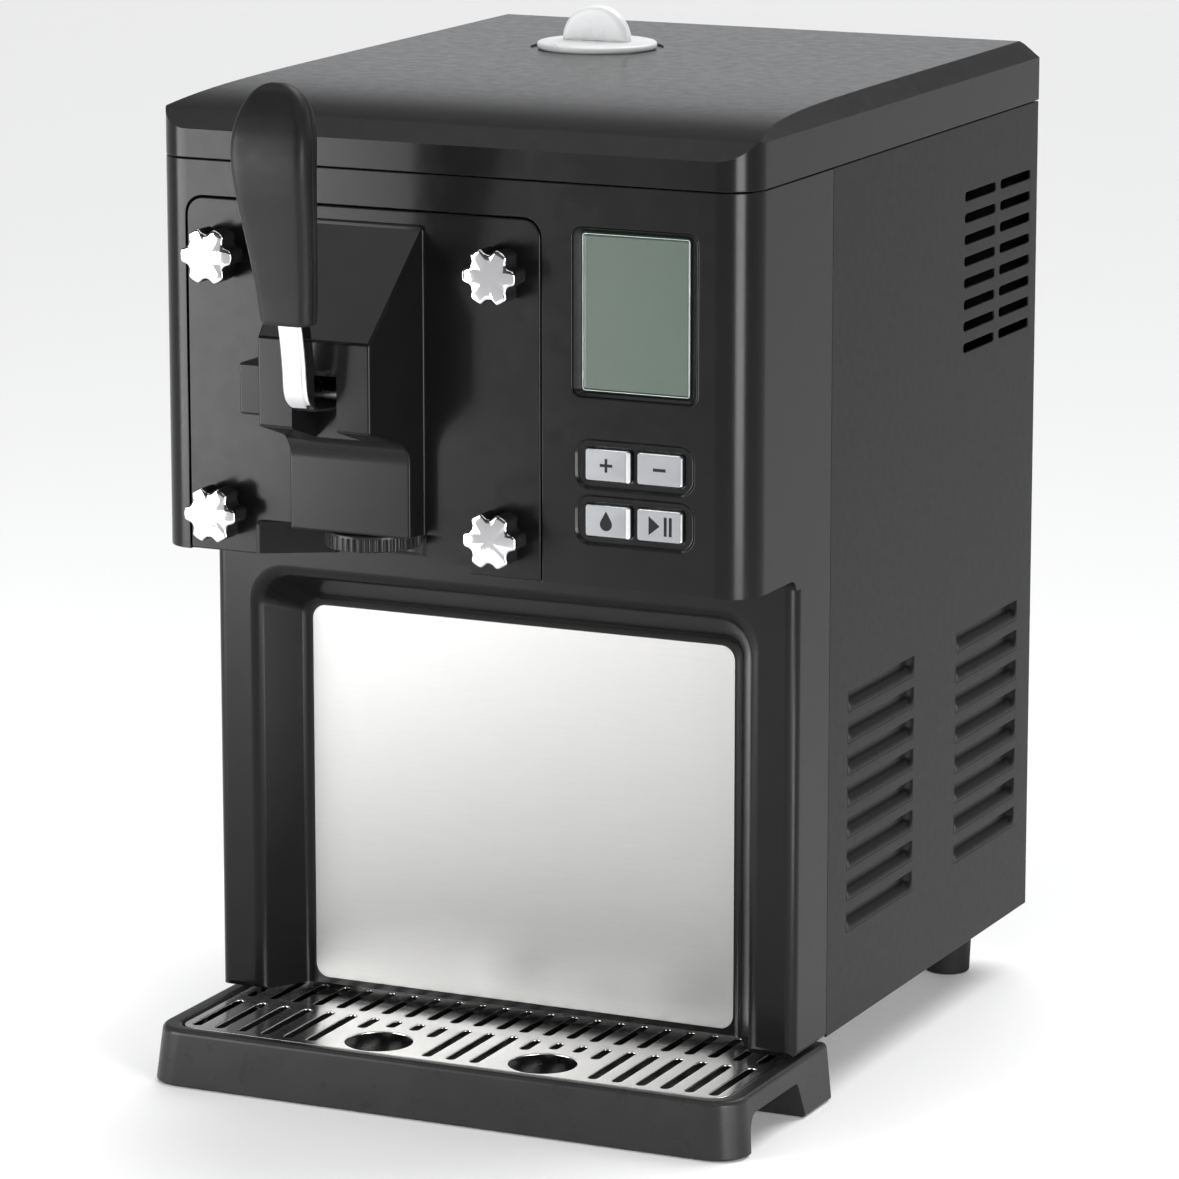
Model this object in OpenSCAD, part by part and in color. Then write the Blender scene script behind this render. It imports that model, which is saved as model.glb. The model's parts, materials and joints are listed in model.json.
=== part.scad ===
// Countertop soft-serve ice cream machine: a plastic front with a bolted freezer door, a draw
// lever and a drip tray, a sheet-metal body, and the freezing, drive and cooling parts inside.
// Working frame: X to the right, Y to the back from the fascia's face, Z up from the body's
// bottom edge. stand() moves that frame to the origin on the surface below the machine.

/* [Body] */
// Width of the housing
body_w = 290; // [286:1:294]
// Depth of the housing, from the fascia's face to the rear panel
body_d = 346.7; // [344:0.1:352]
// Height of the seam under the top cover, above the body's bottom edge
seam_z = 396.7; // [394:0.1:402]
// Height of the fascia's underside, above the body's bottom edge
fascia_z = 219.5; // [217:0.5:219.5]
// Depth of the plastic front moulding
front_d = 91; // [89:0.5:91]
// How far the lower columns stand behind the fascia's face
column_y = 52.8; // [51:0.1:54]
// Height of the feet
foot_h = 29.5; // [27:0.5:33]
// Wall thickness of the plastic mouldings
wall = 3; // [2.4:0.1:3.2]
// Thickness of the sheet metal
sheet = 1.2; // [0.8:0.1:1.4]

/* [Front door] */
// Centre line of the freezer, door and lever, left of the middle
axis_x = -41.2; // [-42:0.1:-40]
// Height of the freezing cylinder's axis
axis_z = 297.25; // [296:0.25:298]
// Width of the door plate
door_w = 173.6; // [171:0.1:174]
// Height of the door plate's bottom edge
door_z = 220; // [219.5:0.1:220.5]
// Height of the door plate's top edge
door_top = 379.5; // [378:0.1:381]
// Distance between the knob columns
knob_dx = 138.5; // [138:0.1:139.5]
// Distance between the knob rows
knob_dz = 116.5; // [116:0.1:117]
// Radius of a star knob over its lobes
knob_r = 12.75; // [12:0.05:13.2]

/* [Lever] */
// Distance of the lever's pivot in front of the door's face
pivot_y = 34; // [33.5:0.1:34.5]
// Height of the lever's pivot
pivot_z = 303; // [302.5:0.1:303.5]
// Distance of the plunger's axis behind the door's face
plunger_y = 10; // [9.5:0.1:10.5]
// Radius of the plunger's bore
plunger_bore_r = 11; // [10.9:0.05:11.1]

/* [Panel] */
// Middle of the display and the buttons, right of the middle
panel_x = 90.6; // [90:0.1:91.2]
// Width of the display's window
window_w = 52; // [50:0.5:53]
// Height of the display's window
window_h = 70; // [68:0.5:71]
// Width of a button
button_w = 21.6; // [20.5:0.1:22]
// Height of a button
button_h = 14.4; // [13.5:0.1:14.8]

/* [Bay and tray] */
// Width of the dispensing bay at its mouth
bay_w = 247; // [244:0.5:248]
// Height of the dispensing bay at its mouth
bay_top = 199.5; // [198:0.5:200]
// Distance between the grille's slots
slot_pitch = 11.75; // [11.6:0.05:11.8]
// Radius of the two round drain holes
drain_r = 15.5; // [14.5:0.1:16]

/* [Hopper] */
// Place of the filler cap, left of the middle
cap_x = -38; // [-40:0.5:-37]
// Place of the filler cap, behind the fascia's face
cap_y = 240; // [238:0.5:242]
// Radius of the filler cap's flange
cap_r = 28.5; // [28:0.1:29]

/* [Hidden] */

$fn = 64;
eps = 0.01;
half_w = body_w / 2;

// Height of the highest point of the top cover above the seam, and how far the grip's front
// and the rear screws' heads stand outside the housing.
cover_h = 27.8;
grip_front = 89;
screw_head = 1.6;
mid_y = (body_d + screw_head - grip_front) / 2;

seam_gap = 0.4;
upper_r = 17;
lower_r = 5.5;
backsplash_y = 75;
door_t = 6;
door_back = 36;
flange_y = 38;
flange_t = 4;
gap = 0.4;

cyl_r = 38;
cyl_wall = 2;
cyl_end = 190;
coil_r = 2.6;
coil_ring_r = cyl_r + cyl_wall + coil_r + 1;
jacket_r = 54;
shaft_r = 7;
shaft_end = 215;
running = 0.05;

block_w = 59;
block_y = 46;
door_gap = 0.8;
slot_w = 21.9;
finger_r = 4;
plunger_r = plunger_bore_r - gap;
plunger_bottom = 256;
plunger_top = 314;
port_z = 268;
spout_r = 14;
ring_r = 21.5;
ring_z = 227;
ring_h = 7.8;

grip_t = 15;
knob_face = 16;
knob_back = 3;
stud_r = 3;
stud_front = 12;

button_dx = 24.6;
button_dz = 24.7;
button_z = 261.9;
window_z = 340.7;

tray_top = -2.5;
tray_bottom = -28.9;
tray_front = -14;
tray_back = 91.8;
tray_flare = 2.5;
tray_wall = 2.6;
basin_floor = -9.5;
grille_t = 1;
slot_w_grille = 4.4;

hopper_w = 128;
hopper_y0 = 152;
hopper_y1 = 330;
hopper_z = 354;
hopper_top = 409;
fill_r = 24.5;
feed_y = 181;

gearbox_back = 248;
pulley_y = 256;
pulley_w = 12;
big_pulley_r = 30;
small_pulley_r = 12;
belt_t = 3;
louvre_columns = [114, 247.5];
louvre_length = 80;
louvre_depth = 4;
louvre_h = 9.5;
louvre_z = 156;
louvre_pitch = 14.7;
screw_r = 1.9;
inlet_x = 75;
inlet_z = 108;
motor_z = 190;
shelf_z = 140;

fan_y = 222;
fan_z = 115;
fan_r = 68;
compressor_x = -75;
compressor_y = 225;
compressor_r = 50;

black = "#2b2b2c";
dark_metal = "#3b3b3c";
steel = "#c8c8c4";
chrome = "#e4e6e8";

// ---------- shared shapes ----------

module stand() translate([0, -mid_y, foot_h]) children();

// A rectangle about the origin with round corners, made of straight runs and true arcs.
module rounded(w, h, r) {
    square([w - 2 * r, h], center = true);
    square([w, h - 2 * r], center = true);
    for (sx = [-1, 1], sy = [-1, 1])
        translate([sx * (w / 2 - r), sy * (h / 2 - r)]) circle(r);
}

// A plate with its outline in X and Z, its front face at y and its thickness t along Y.
module facing(x, y, z, t) translate([x, y + t, z]) rotate([90, 0, 0]) linear_extrude(t) children();

// A body whose outline is drawn in Y and Z, from x and w wide along X.
module across(x, w) translate([x, 0, 0]) rotate([90, 0, 90]) linear_extrude(w) children();

// A round bar or hole along Y.
module along_y(x, y, z, r, length) translate([x, y, z]) rotate([-90, 0, 0]) cylinder(r = r, h = length);

// A round bar or hole along X.
module along_x(x, y, z, r, length) translate([x, y, z]) rotate([0, 90, 0]) cylinder(r = r, h = length);

// The housing's outline from above, with round front corners.
module front_plan(w, y0, y1, r) {
    translate([-w / 2, y0 + r]) square([w, y1 - y0 - r]);
    translate([-w / 2 + r, y0]) square([w - 2 * r, r + eps]);
    for (sx = [-1, 1]) translate([sx * (w / 2 - r), y0 + r]) circle(r);
}

// Points on an arc from angle a0 to a1 about (x, y).
function arc(x, y, r, a0, a1, n = 8) =
    [for (i = [0 : n]) let (a = a0 + (a1 - a0) * i / n) [x + r * cos(a), y + r * sin(a)]];

// ---------- housing ----------

module bay_outline(w, top, r, t) {
    low = -12;
    facing(0, 0, (top + low) / 2, t) {
        rounded(w, top - low, r, $fn = 32);
        translate([0, -r]) square([w, top - low - 2 * r], center = true);
    }
}

// The dispensing bay narrows from its mouth to the steel backsplash.
module bay_space() hull() {
    translate([0, column_y - 1, 0]) bay_outline(bay_w + 1.5, bay_top + 0.8, 16, 0.5);
    translate([0, backsplash_y + 0.3, 0]) bay_outline(213, 181.3, 7, 0.5);
}

module door_pocket() {
    w = door_w + 2 * door_gap;
    top = door_top + door_gap;
    facing(axis_x, -1, (fascia_z - 10 + top) / 2, wall + 2)
        rounded(w, top - fascia_z + 10, 8 + door_gap);
    translate([axis_x - w / 2, -1, fascia_z - 10]) cube([w, flange_y + 0.5, 10 + wall + 1]);
}

module button_windows() {
    for (row = [-1, 1]) {
        facing(panel_x, -1, button_z + row * button_dz / 2, 2.2) rounded(54.4, 20, 6);
        for (col = [-1, 1])
            facing(panel_x + col * button_dx / 2, -1, button_z + row * button_dz / 2, wall + 2)
                rounded(button_w + 1.4, button_h + 1.4, 2.2);
    }
}

module fascia_fillet(r) difference() {
    across(-half_w, body_w) translate([column_y - r, fascia_z - r]) square([r + eps, r + eps]);
    along_x(-half_w - 1, column_y - r, fascia_z - r, r, body_w + 2);
}

module front_panel() stand() color(black) difference() {
    union() {
        translate([0, 0, fascia_z]) linear_extrude(seam_z - seam_gap - fascia_z)
            front_plan(body_w, 0, front_d, upper_r);
        linear_extrude(fascia_z) front_plan(body_w, column_y, front_d, lower_r);
        fascia_fillet(6);
    }
    inner_w = body_w - 2 * wall;
    header = bay_top + wall;
    translate([0, 0, fascia_z + wall]) linear_extrude(seam_z)
        front_plan(inner_w, wall, front_d + 1, upper_r - wall);
    translate([0, (column_y + wall + front_d + 1) / 2, header])
        linear_extrude(fascia_z - header + wall + 1)
            square([inner_w, front_d + 1 - column_y - wall], center = true);
    bay_inside = backsplash_y + 0.8 + wall;
    translate([-half_w + wall, bay_inside, -1]) cube([inner_w, front_d - bay_inside + 1, header + 2]);
    column_in = bay_w / 2 + wall + 1;
    for (sx = [0, 1]) mirror([sx, 0, 0]) translate([column_in, column_y + wall, -1])
        cube([half_w - wall - column_in, front_d, header + 2]);
    bay_space();
    door_pocket();
    facing(panel_x, -1, window_z, wall + 2) rounded(59.4, 74.3, 4.5);
    button_windows();
}

// A bar along Y with its outline in X and Z, from y0 and length long.
module lengthwise(y0, length) translate([0, y0 + length, 0]) rotate([90, 0, 0])
    linear_extrude(length) children();

// Each louvre is pressed inwards: a ramp that is deepest at its top edge, open upwards inside.
module louvres(y0, top_grow, outline) for (i = [0 : 7]) translate([0, 0, louvre_z - i * louvre_pitch])
    lengthwise(y0 - top_grow, louvre_length + 2 * top_grow) polygon(outline);

module vent_slots() for (i = [0 : 7], y = [251.6, 297.4]) translate([-sheet - 1, y, 360.1 - i * 10.2])
    rotate([90, 0, 90]) linear_extrude(4) translate([19.6, 2.2]) rounded(39.4, 4.4, 1);

module side_panel() translate([half_w, 0, 0]) {
    length = body_d - front_d - 0.3;
    skin = [[-0.1, 0], [-louvre_depth - sheet, 0], [-sheet, -louvre_h - 1], [-0.1, -louvre_h - 1]];
    air = [[1, 0], [-louvre_depth, 0], [0, -louvre_h], [1, -louvre_h]];
    difference() {
        union() {
            translate([-sheet, front_d + 0.3, 0]) cube([sheet, length, seam_z - seam_gap]);
            for (y = louvre_columns) louvres(y, sheet, skin);
        }
        for (y = louvre_columns) louvres(y, 0, air);
        vent_slots();
    }
    difference() {
        translate([-16, body_d - 2 * sheet - 0.1, 0]) cube([16 - sheet + eps, sheet, seam_z - seam_gap]);
        translate([-half_w, 0, 0]) rear_screw_places() along_y(0, body_d - 10, 0, screw_r + 0.1, 20);
    }
}

module left_panel() stand() color(dark_metal) mirror([1, 0, 0]) side_panel();

module right_panel() stand() color(dark_metal) side_panel();

// The rear screws stand in a column at each side edge.
module rear_screw_places() for (sx = [-1, 1], z = [16, 138, 260, 382])
    translate([sx * (half_w - 9), 0, z]) children();

module rear_panel() stand() color(dark_metal) difference() {
    translate([-half_w + sheet + 0.2, body_d - sheet, 0])
        cube([body_w - 2 * sheet - 0.4, sheet, seam_z - seam_gap]);
    for (i = [0 : 9], sx = [-1, 1])
        facing(sx * 30, body_d - sheet - 1, 170 + i * 10, sheet + 2) rounded(46, 4.4, 2.1);
    facing(inlet_x, body_d - 3, inlet_z, 6) rounded(29, 67.8, 2.5);
    rear_screw_places() along_y(0, body_d - 10, 0, screw_r + 0.3, 20);
}

module rear_screws() stand() color(steel) rear_screw_places() {
    along_y(0, body_d, 0, 3.8, screw_head);
    along_y(0, body_d - 8, 0, screw_r, 8 + eps);
}

module base_plate() stand() color(steel) {
    w = body_w - 2 * sheet - 0.8;
    length = body_d - front_d - 2 * sheet - 0.7;
    difference() {
        translate([-w / 2, front_d + 0.3, 0]) cube([w, length, 1.5]);
        for (i = [0 : 7]) translate([40 + i * 8, 222, -1]) linear_extrude(4) rounded(4, 60, 1.9);
    }
    for (sx = [0, 1]) mirror([sx, 0, 0])
        translate([w / 2 - 1.2, front_d + 0.3, 0]) cube([1.2, length, 14]);
}

module feet() stand() color("#1c1c1c") for (sx = [-1, 1], y = [112, 316])
    translate([sx * 116, y, -foot_h]) cylinder(r1 = 10.8, r2 = 12.2, h = foot_h);

module mid_shelf() stand() color(steel) {
    left = -half_w + 6;
    right = 46;
    difference() {
        translate([left, 94, shelf_z]) cube([right - left, 246, 1.5]);
        translate([-118, compressor_y, shelf_z - 1]) cylinder(r = 6, h = 4);
    }
    for (x = [left, right - 1.5], y = [94, 300]) translate([x, y, 1.5]) cube([1.5, 20, shelf_z]);
}

// Height of the cover's ridge above the seam: it rises fast behind the front edge, then levels.
function ridge(y) = cover_h - 7.1 * exp((10 - y) / 30);

module cover_side(y0, y1) across(-half_w, body_w) translate([0, seam_z])
    polygon(concat([[y0, 0], [y0, 12.8]], [for (y = [10, 16, 24, 36, 52, 76, 110]) [y, ridge(y)]],
        [[y1 - 1.5, cover_h], [y1, cover_h - 1.5], [y1, 0]]));

module cover_front() translate([0, body_d, seam_z]) rotate([90, 0, 0]) linear_extrude(body_d)
    polygon([[-half_w, 0], [half_w, 0], [half_w, 20.5], [half_w - 9.6, cover_h],
        [-half_w + 9.6, cover_h], [-half_w, 20.5]]);

module cover_inside() {
    across(-half_w + 12, body_w - 24) translate([0, seam_z])
        polygon([[wall, -1], [wall, 9], [14, 15.5], [34, 20.5], [body_d - wall, cover_h - wall],
            [body_d - wall, -1]]);
    translate([-half_w + wall, 12, seam_z - 1]) cube([body_w - 2 * wall, body_d - 12 - wall, 13]);
}

module top_cover() stand() color(black) difference() {
    intersection() {
        cover_side(0, body_d);
        cover_front();
        translate([0, 0, seam_z]) linear_extrude(40) front_plan(body_w, 0, body_d, upper_r);
    }
    cover_inside();
    translate([cap_x, cap_y, seam_z]) cylinder(r = fill_r + 0.6, h = 40);
    translate([cap_x, cap_y, seam_z + cover_h - 0.8]) cylinder(r = cap_r + 3, h = 2);
}

// ---------- front door ----------

module knob_places(left, top) translate([axis_x + left * knob_dx / 2, 0, axis_z + top * knob_dz / 2])
    children();

module every_knob() for (left = [-1, 1], top = [-1, 1]) knob_places(left, top) children();

// The valve block and the shroud under it are one tapered shape. The block's underside slopes back
// and runs into the shroud's front through a hollow curve.
module valve_block() intersection() {
    across(axis_x - block_w, 2 * block_w)
        polygon(concat([[door_t, 372], [-eps, 372], [-block_y, 327.5], [-block_y, 288]],
            arc(-25, 268.6, 12, 72, 0), [[-13, 236], [door_t, 236]]));
    translate([0, 0, 230]) linear_extrude(150) polygon([[axis_x - 30.4, door_t],
        [axis_x - 30.4, -3], [axis_x - 27.5, -block_y], [axis_x + 27, -block_y],
        [axis_x + 30.4, -3], [axis_x + 30.4, door_t]]);
}

// The alcove under the shroud deepens from its left end, and is hollowed out around the ring.
module alcove_plan() {
    polygon([[-96, -1], [-96, 0], [-66, 16.5], [12, 16.5], [12, -1]]);
    intersection() {
        translate([axis_x, plunger_y]) circle(ring_r + 2.5);
        translate([-100, -1]) square([150, 60]);
    }
}

module alcove(grow, top) translate([0, 0, door_z - 1]) linear_extrude(top - door_z + 1)
    offset(r = grow) alcove_plan();

module lever_space() {
    front = [axis_x - slot_w / 2, -block_y - 1];
    translate([front[0], front[1], 275]) cube([slot_w, block_y - 23 + 1, 312.5 - 275]);
    translate([front[0], -block_y + 5, 275]) cube([slot_w, block_y - 5 - 23, 322 - 275]);
    translate([axis_x - 6, -23 - eps, pivot_z - 6]) cube([12, 23 + plunger_y, 29]);
}

module front_door() stand() color(black) difference() {
    union() {
        facing(axis_x, 0, (door_z + door_top) / 2, door_t) rounded(door_w, door_top - door_z, 8);
        facing(axis_x, 0, door_z + 10, door_t) rounded(door_w, 20, 1);
        valve_block();
        along_y(axis_x, door_t - eps, axis_z, 46, door_back - door_t);
        translate([axis_x - 19, door_t - eps, 236]) cube([38, 22, 30]);
        intersection() {
            alcove(wall, 240);
            translate([-200, 0, door_z]) cube([400, 60, 30]);
        }
        translate([axis_x, plunger_y, 229.5]) cylinder(r = spout_r, h = 12);
        translate([axis_x - 39.5, -41, 291.5]) cube([14, 14, 23]);
    }
    difference() {
        translate([0, -eps, -eps]) alcove(0, 237);
        translate([axis_x, plunger_y, 229.5]) cylinder(r = spout_r, h = 20);
    }
    translate([axis_x, plunger_y, 220]) cylinder(r = plunger_bore_r, h = 338 - 220);
    along_y(axis_x, plunger_y, port_z, 6, door_back);
    difference() {
        along_y(axis_x, 24, axis_z, 34, door_back);
        along_y(axis_x, 23, axis_z, 9, 11);
    }
    along_y(axis_x, 26, axis_z, 5 + running, 20);
    lever_space();
    along_x(axis_x - 37.5, -pivot_y, pivot_z, 2.55, 60);
    every_knob() along_y(0, -1, 0, stud_r + 0.6, door_t + 2);
}

module door_gasket() stand() color("#7a2a22") difference() {
    along_y(axis_x, door_back, axis_z, 45, 1.6);
    along_y(axis_x, door_back - 1, axis_z, 40, 4);
}

// Six lobes with a narrow scallop between each two.
module star() difference() {
    circle(knob_r);
    for (i = [0 : 5]) rotate(i * 60 + 30) translate([knob_r + 0.2, 0]) circle(3.1);
}

module knob_body() difference() {
    union() {
        facing(0, -knob_face + 1.4, 0, knob_face - 1.4 - knob_back) star();
        along_y(0, -knob_back - eps, 0, 7, knob_back - 0.4);
    }
    along_y(0, -knob_face + 3, 0, stud_r + running, knob_face);
}

module knob_face_cap() facing(0, -knob_face, 0, 1.4) star();

module knob_top_left() stand() color("#222222") knob_places(-1, 1) knob_body();
module knob_top_right() stand() color("#222222") knob_places(1, 1) knob_body();
module knob_bottom_left() stand() color("#222222") knob_places(-1, -1) knob_body();
module knob_bottom_right() stand() color("#222222") knob_places(1, -1) knob_body();
module knob_cap_top_left() stand() color(chrome) knob_places(-1, 1) knob_face_cap();
module knob_cap_top_right() stand() color(chrome) knob_places(1, 1) knob_face_cap();
module knob_cap_bottom_left() stand() color(chrome) knob_places(-1, -1) knob_face_cap();
module knob_cap_bottom_right() stand() color(chrome) knob_places(1, -1) knob_face_cap();

// ---------- lever and valve ----------

// Side outline of the lever's curved neck, from the hub up into the grip.
module neck_outline() polygon(concat([[-pivot_y, pivot_z - 7], [-48, 297.6]],
    arc(-54, 309, 10.9, 270, 180, 6),
    [[-66, 320], [-68.2, 332], [-72.5, 350], [-64.5, 352], [-57, 332], [-53.5, 318],
    [-49, 309], [-pivot_y, pivot_z + 7]]));

module lever_arm() stand() color(chrome) difference() {
    union() {
        along_x(axis_x - 5, -pivot_y, pivot_z, 7.5, 10);
        along_x(axis_x - 5, plunger_y, pivot_z, finger_r, 10);
        across(axis_x - 5, 10) polygon([[-pivot_y, pivot_z - 6], [plunger_y, pivot_z - 3],
            [plunger_y, pivot_z + 3], [-pivot_y, pivot_z + 6]]);
        across(axis_x - 5, 10) neck_outline();
    }
    along_x(axis_x - 6, -pivot_y, pivot_z, 2.5 + running, 12);
}

// One slice of the grip: a rounded bar across X at height z.
module grip_bar(y, z, w, t) along_x(axis_x - w / 2, y, z, t / 2, w, $fn = 32);

module lever_grip() stand() color("#3c3c3d") difference() {
    union() {
        hull() {
            grip_bar(-69.5, 344, 25, 12.5);
            grip_bar(-77, 385, 32, 14);
        }
        hull() {
            grip_bar(-77, 385, 32, 14);
            grip_bar(-grip_front + grip_t / 2, 412, 37, grip_t);
        }
        hull() {
            grip_bar(-grip_front + grip_t / 2, 412, 37, grip_t);
            grip_bar(-80, 428, 33, grip_t - 1);
            grip_bar(-77.5, 437, 20, grip_t - 2);
        }
    }
    across(axis_x - 5, 10) neck_outline();
}

module pivot_pin() stand() color(steel) along_x(axis_x - 37.5, -pivot_y, pivot_z, 2.5, 59);

module plunger() stand() color("#e8e8e6") translate([axis_x, plunger_y, 0]) difference() {
    translate([0, 0, plunger_bottom]) cylinder(r = plunger_r, h = plunger_top - plunger_bottom);
    for (z = [257.5, 277.5]) translate([0, 0, z]) difference() {
        cylinder(r = plunger_r + 1, h = 2.6);
        translate([0, 0, -1]) cylinder(r = plunger_r - 1.8, h = 5);
    }
    across(-5.6, 11.2) translate([0, pivot_z])
        polygon([[-12, 4.7], [12, 4.7], [12, -4.7], [-5, -4.7], [-12, -9]]);
}

module plunger_rings() stand() color("#7a2a22") for (z = [257.8, 277.8])
    translate([axis_x, plunger_y, z]) difference() {
        cylinder(r = plunger_bore_r - running, h = 2);
        translate([0, 0, -1]) cylinder(r = plunger_r - 1.8, h = 4);
    }

module nozzle_ring() stand() color("#262626") translate([axis_x, plunger_y, ring_z]) difference() {
    linear_extrude(ring_h) difference() {
        circle(ring_r);
        for (i = [0 : 39]) rotate(i * 9) translate([ring_r + 0.5, 0]) circle(1.1, $fn = 12);
    }
    translate([0, 0, 1]) cylinder(r = spout_r + running, h = ring_h);
    translate([0, 0, -1]) cylinder(r = 10, h = 3);
}

// The outlet's star: six points about a clear middle.
module star_nozzle() stand() color("#e8e8e6") translate([axis_x, plunger_y, ring_z + 1])
    linear_extrude(1.1) difference() {
        circle(spout_r);
        circle(6.3);
        for (i = [0 : 5]) rotate(i * 60) polygon([[4, -2.2], [8.6, 0], [4, 2.2]]);
    }

// ---------- display and buttons ----------

module display_bezel() stand() color("#242424") difference() {
    facing(panel_x, 0.5, window_z, 2.4) rounded(59, 73.9, 4.3);
    facing(panel_x, -1, window_z, 6) rounded(window_w, window_h, 2);
}

module display_glass() stand() color("#7b8c80") facing(panel_x, 3, window_z, 1.6)
    rounded(59, 73.9, 2);

module display_module() stand() color("#1d3a2a") facing(panel_x, 4.7, window_z, 9)
    rounded(60, 80, 2);

// A button's cap with a stem behind it that meets the control board's switch.
module button(col, row) stand() color("#c8cacc")
    translate([panel_x + col * button_dx / 2, 0, button_z + row * button_dz / 2]) {
        facing(0, -1, 0, 5) rounded(button_w, button_h, 1.6);
        facing(0, 4 - eps, 0, 1.4) rounded(button_w + 2.2, button_h + 2.2, 2);
        along_y(0, 5.4 - 2 * eps, 0, 3, 11.5);
    }

module button_plus() button(-1, 1);
module button_minus() button(1, 1);
module button_clean() button(-1, -1);
module button_play() button(1, -1);

module control_board() stand() color("#1f4d33") {
    facing(panel_x + 2, 24, 313, 1.6) rounded(74, 150, 2);
    for (col = [-1, 1], row = [-1, 1])
        facing(panel_x + col * button_dx / 2, 19.5, button_z + row * button_dz / 2, 4.5)
            rounded(6.5, 6.5, 1);
    for (x = [65, 113]) facing(x, 14, 365, 10) rounded(6, 6, 1);
    facing(panel_x, 25.6, 320, 8) rounded(24, 30, 1);
    facing(panel_x, 25.6, 270, 14) rounded(40, 12, 1);
}

module backsplash() stand() color(steel) facing(0, backsplash_y, 92.1, 0.75)
    rounded(212.6, 178.2, 6.8);

// ---------- drip tray ----------

module tray_outline(z, grow, t) translate([0, 0, z]) linear_extrude(t)
    front_plan(body_w + 2 * grow, tray_front - grow, tray_back, 15, $fn = 32);

module tray_arch() across(-half_w - 10, body_w + 20) polygon(concat(
    [[61.5, -40], [61.5, -27]], [[56, -15]], arc(51.5, -14, 2.5, 0, 90, 3),
    arc(12, -21.5, 10, 90, 170, 5), [[1, -27], [0.5, -40]]));

module drip_tray() stand() color(black) difference() {
    hull() {
        tray_outline(tray_top - 0.5, 0, 0.5);
        tray_outline(tray_bottom, tray_flare, 0.5);
    }
    translate([0, 0, basin_floor]) linear_extrude(20)
        front_plan(body_w - 18, tray_front + 7.5, tray_back - tray_wall, 9);
    tray_arch();
    for (y = [[tray_front + tray_wall, -2.5], [64, tray_back - tray_wall]])
        translate([-half_w + tray_wall, y[0], tray_bottom - 1])
            cube([body_w - 2 * tray_wall, y[1] - y[0], 17]);
}

module grille_slot(x, y0, y1) translate([x, (y0 + y1) / 2]) rounded(slot_w_grille, y1 - y0, 2.1);

// Front slots skip the two drain holes, where shorter slots stand behind each hole instead.
module grille_slots() {
    for (i = [-11 : 11]) {
        x = i * slot_pitch;
        grille_slot(x, 51.5, 84);
        near = abs(abs(i) - 3.5);
        if (near > 2) grille_slot(x, -1, 44);
        else grille_slot(x, near > 1 ? 27 : 33, 43.5);
    }
}

module drip_grille() stand() color(steel) {
    grille_z = tray_top - 0.9 - grille_t;
    translate([0, 0, grille_z]) linear_extrude(grille_t) difference() {
        front_plan(body_w - 18.6, tray_front + 8, tray_back - tray_wall - 0.4, 8.6);
        grille_slots();
        for (sx = [-1, 1]) translate([sx * 3.5 * slot_pitch, 11]) circle(drain_r);
    }
    for (sx = [-1, 1], y = [15, 68]) translate([sx * 133.5, y, basin_floor])
        cylinder(r = 1.8, h = grille_z - basin_floor + eps);
}

// ---------- hopper ----------

module hopper_cap() stand() color("#dfe1e2") translate([cap_x, cap_y, seam_z + cover_h]) {
    rotate_extrude() polygon([[0, -0.4], [cap_r - 1, -0.4], [cap_r, 0.6], [cap_r, 1.6],
        [cap_r - 2, 3], [0, 3]]);
    difference() {
        translate([0, 0, -8.4]) cylinder(r = fill_r - 0.2, h = 8.1);
        translate([0, 0, -9]) cylinder(r = fill_r - 2.4, h = 8.6);
    }
    difference() {
        translate([0, 4, 3 - eps]) rotate([90, 0, 0]) cylinder(r = 17, h = 8);
        translate([-20, -10, -40 + 2.5]) cube([40, 20, 40]);
    }
}

// An open tub whose outlet tube leads straight down into the freezing cylinder.
module mix_hopper() stand() color(steel) translate([axis_x, 0, 0]) difference() {
    depth = hopper_y1 - hopper_y0;
    tube_z = axis_z + cyl_r + 0.4;
    union() {
        translate([0, hopper_y0 + depth / 2, hopper_z]) linear_extrude(hopper_top - hopper_z)
            rounded(hopper_w, depth, 14);
        translate([0, feed_y, tube_z]) cylinder(r = 6, h = hopper_z - tube_z + 1);
    }
    translate([0, hopper_y0 + depth / 2, hopper_z + 1.5]) linear_extrude(90)
        rounded(hopper_w - 3, depth - 3, 12.5);
    translate([0, feed_y, tube_z - 1]) cylinder(r = 4.8, h = 40);
}

// ---------- freezing cylinder and drive ----------

module freezing_cylinder() stand() color(steel) difference() {
    union() {
        along_y(axis_x, flange_y, axis_z, cyl_r + cyl_wall, cyl_end - flange_y);
        facing(axis_x, flange_y, axis_z, flange_t) rounded(knob_dx + 20, knob_dz + 18, 8);
        every_knob() along_y(0, -stud_front, 0, stud_r, flange_y + stud_front + 1);
    }
    along_y(axis_x, flange_y - 1, axis_z, cyl_r, cyl_end - flange_y - 2);
    along_y(axis_x, cyl_end - 5, axis_z, 9, 10);
    translate([axis_x, feed_y, axis_z]) cylinder(r = 6.05, h = 60);
}

// A helical tube about the cylinder: one ring of points every step round the helix.
module evaporator_coil() stand() color("#b06a3c") translate([axis_x, 58, axis_z]) {
    sides = 6;
    steps = 16;
    turns = 6;
    rise = 104 / turns / steps;
    points = [for (i = [0 : turns * steps], k = [0 : sides - 1]) let (a = i * 360 / steps,
        b = k * 360 / sides, r = coil_ring_r + coil_r * cos(b))
        [r * cos(a), i * rise + coil_r * sin(b), r * sin(a)]];
    last = turns * steps * sides;
    polyhedron(points, concat([[for (k = [0 : sides - 1]) k]],
        [for (i = [0 : turns * steps - 1], k = [0 : sides - 1]) let (n = (k + 1) % sides, j = i * sides)
            [j + k, j + sides + k, j + sides + n, j + n]],
        [[for (k = [sides - 1 : -1 : 0]) last + k]]));
}

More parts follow.
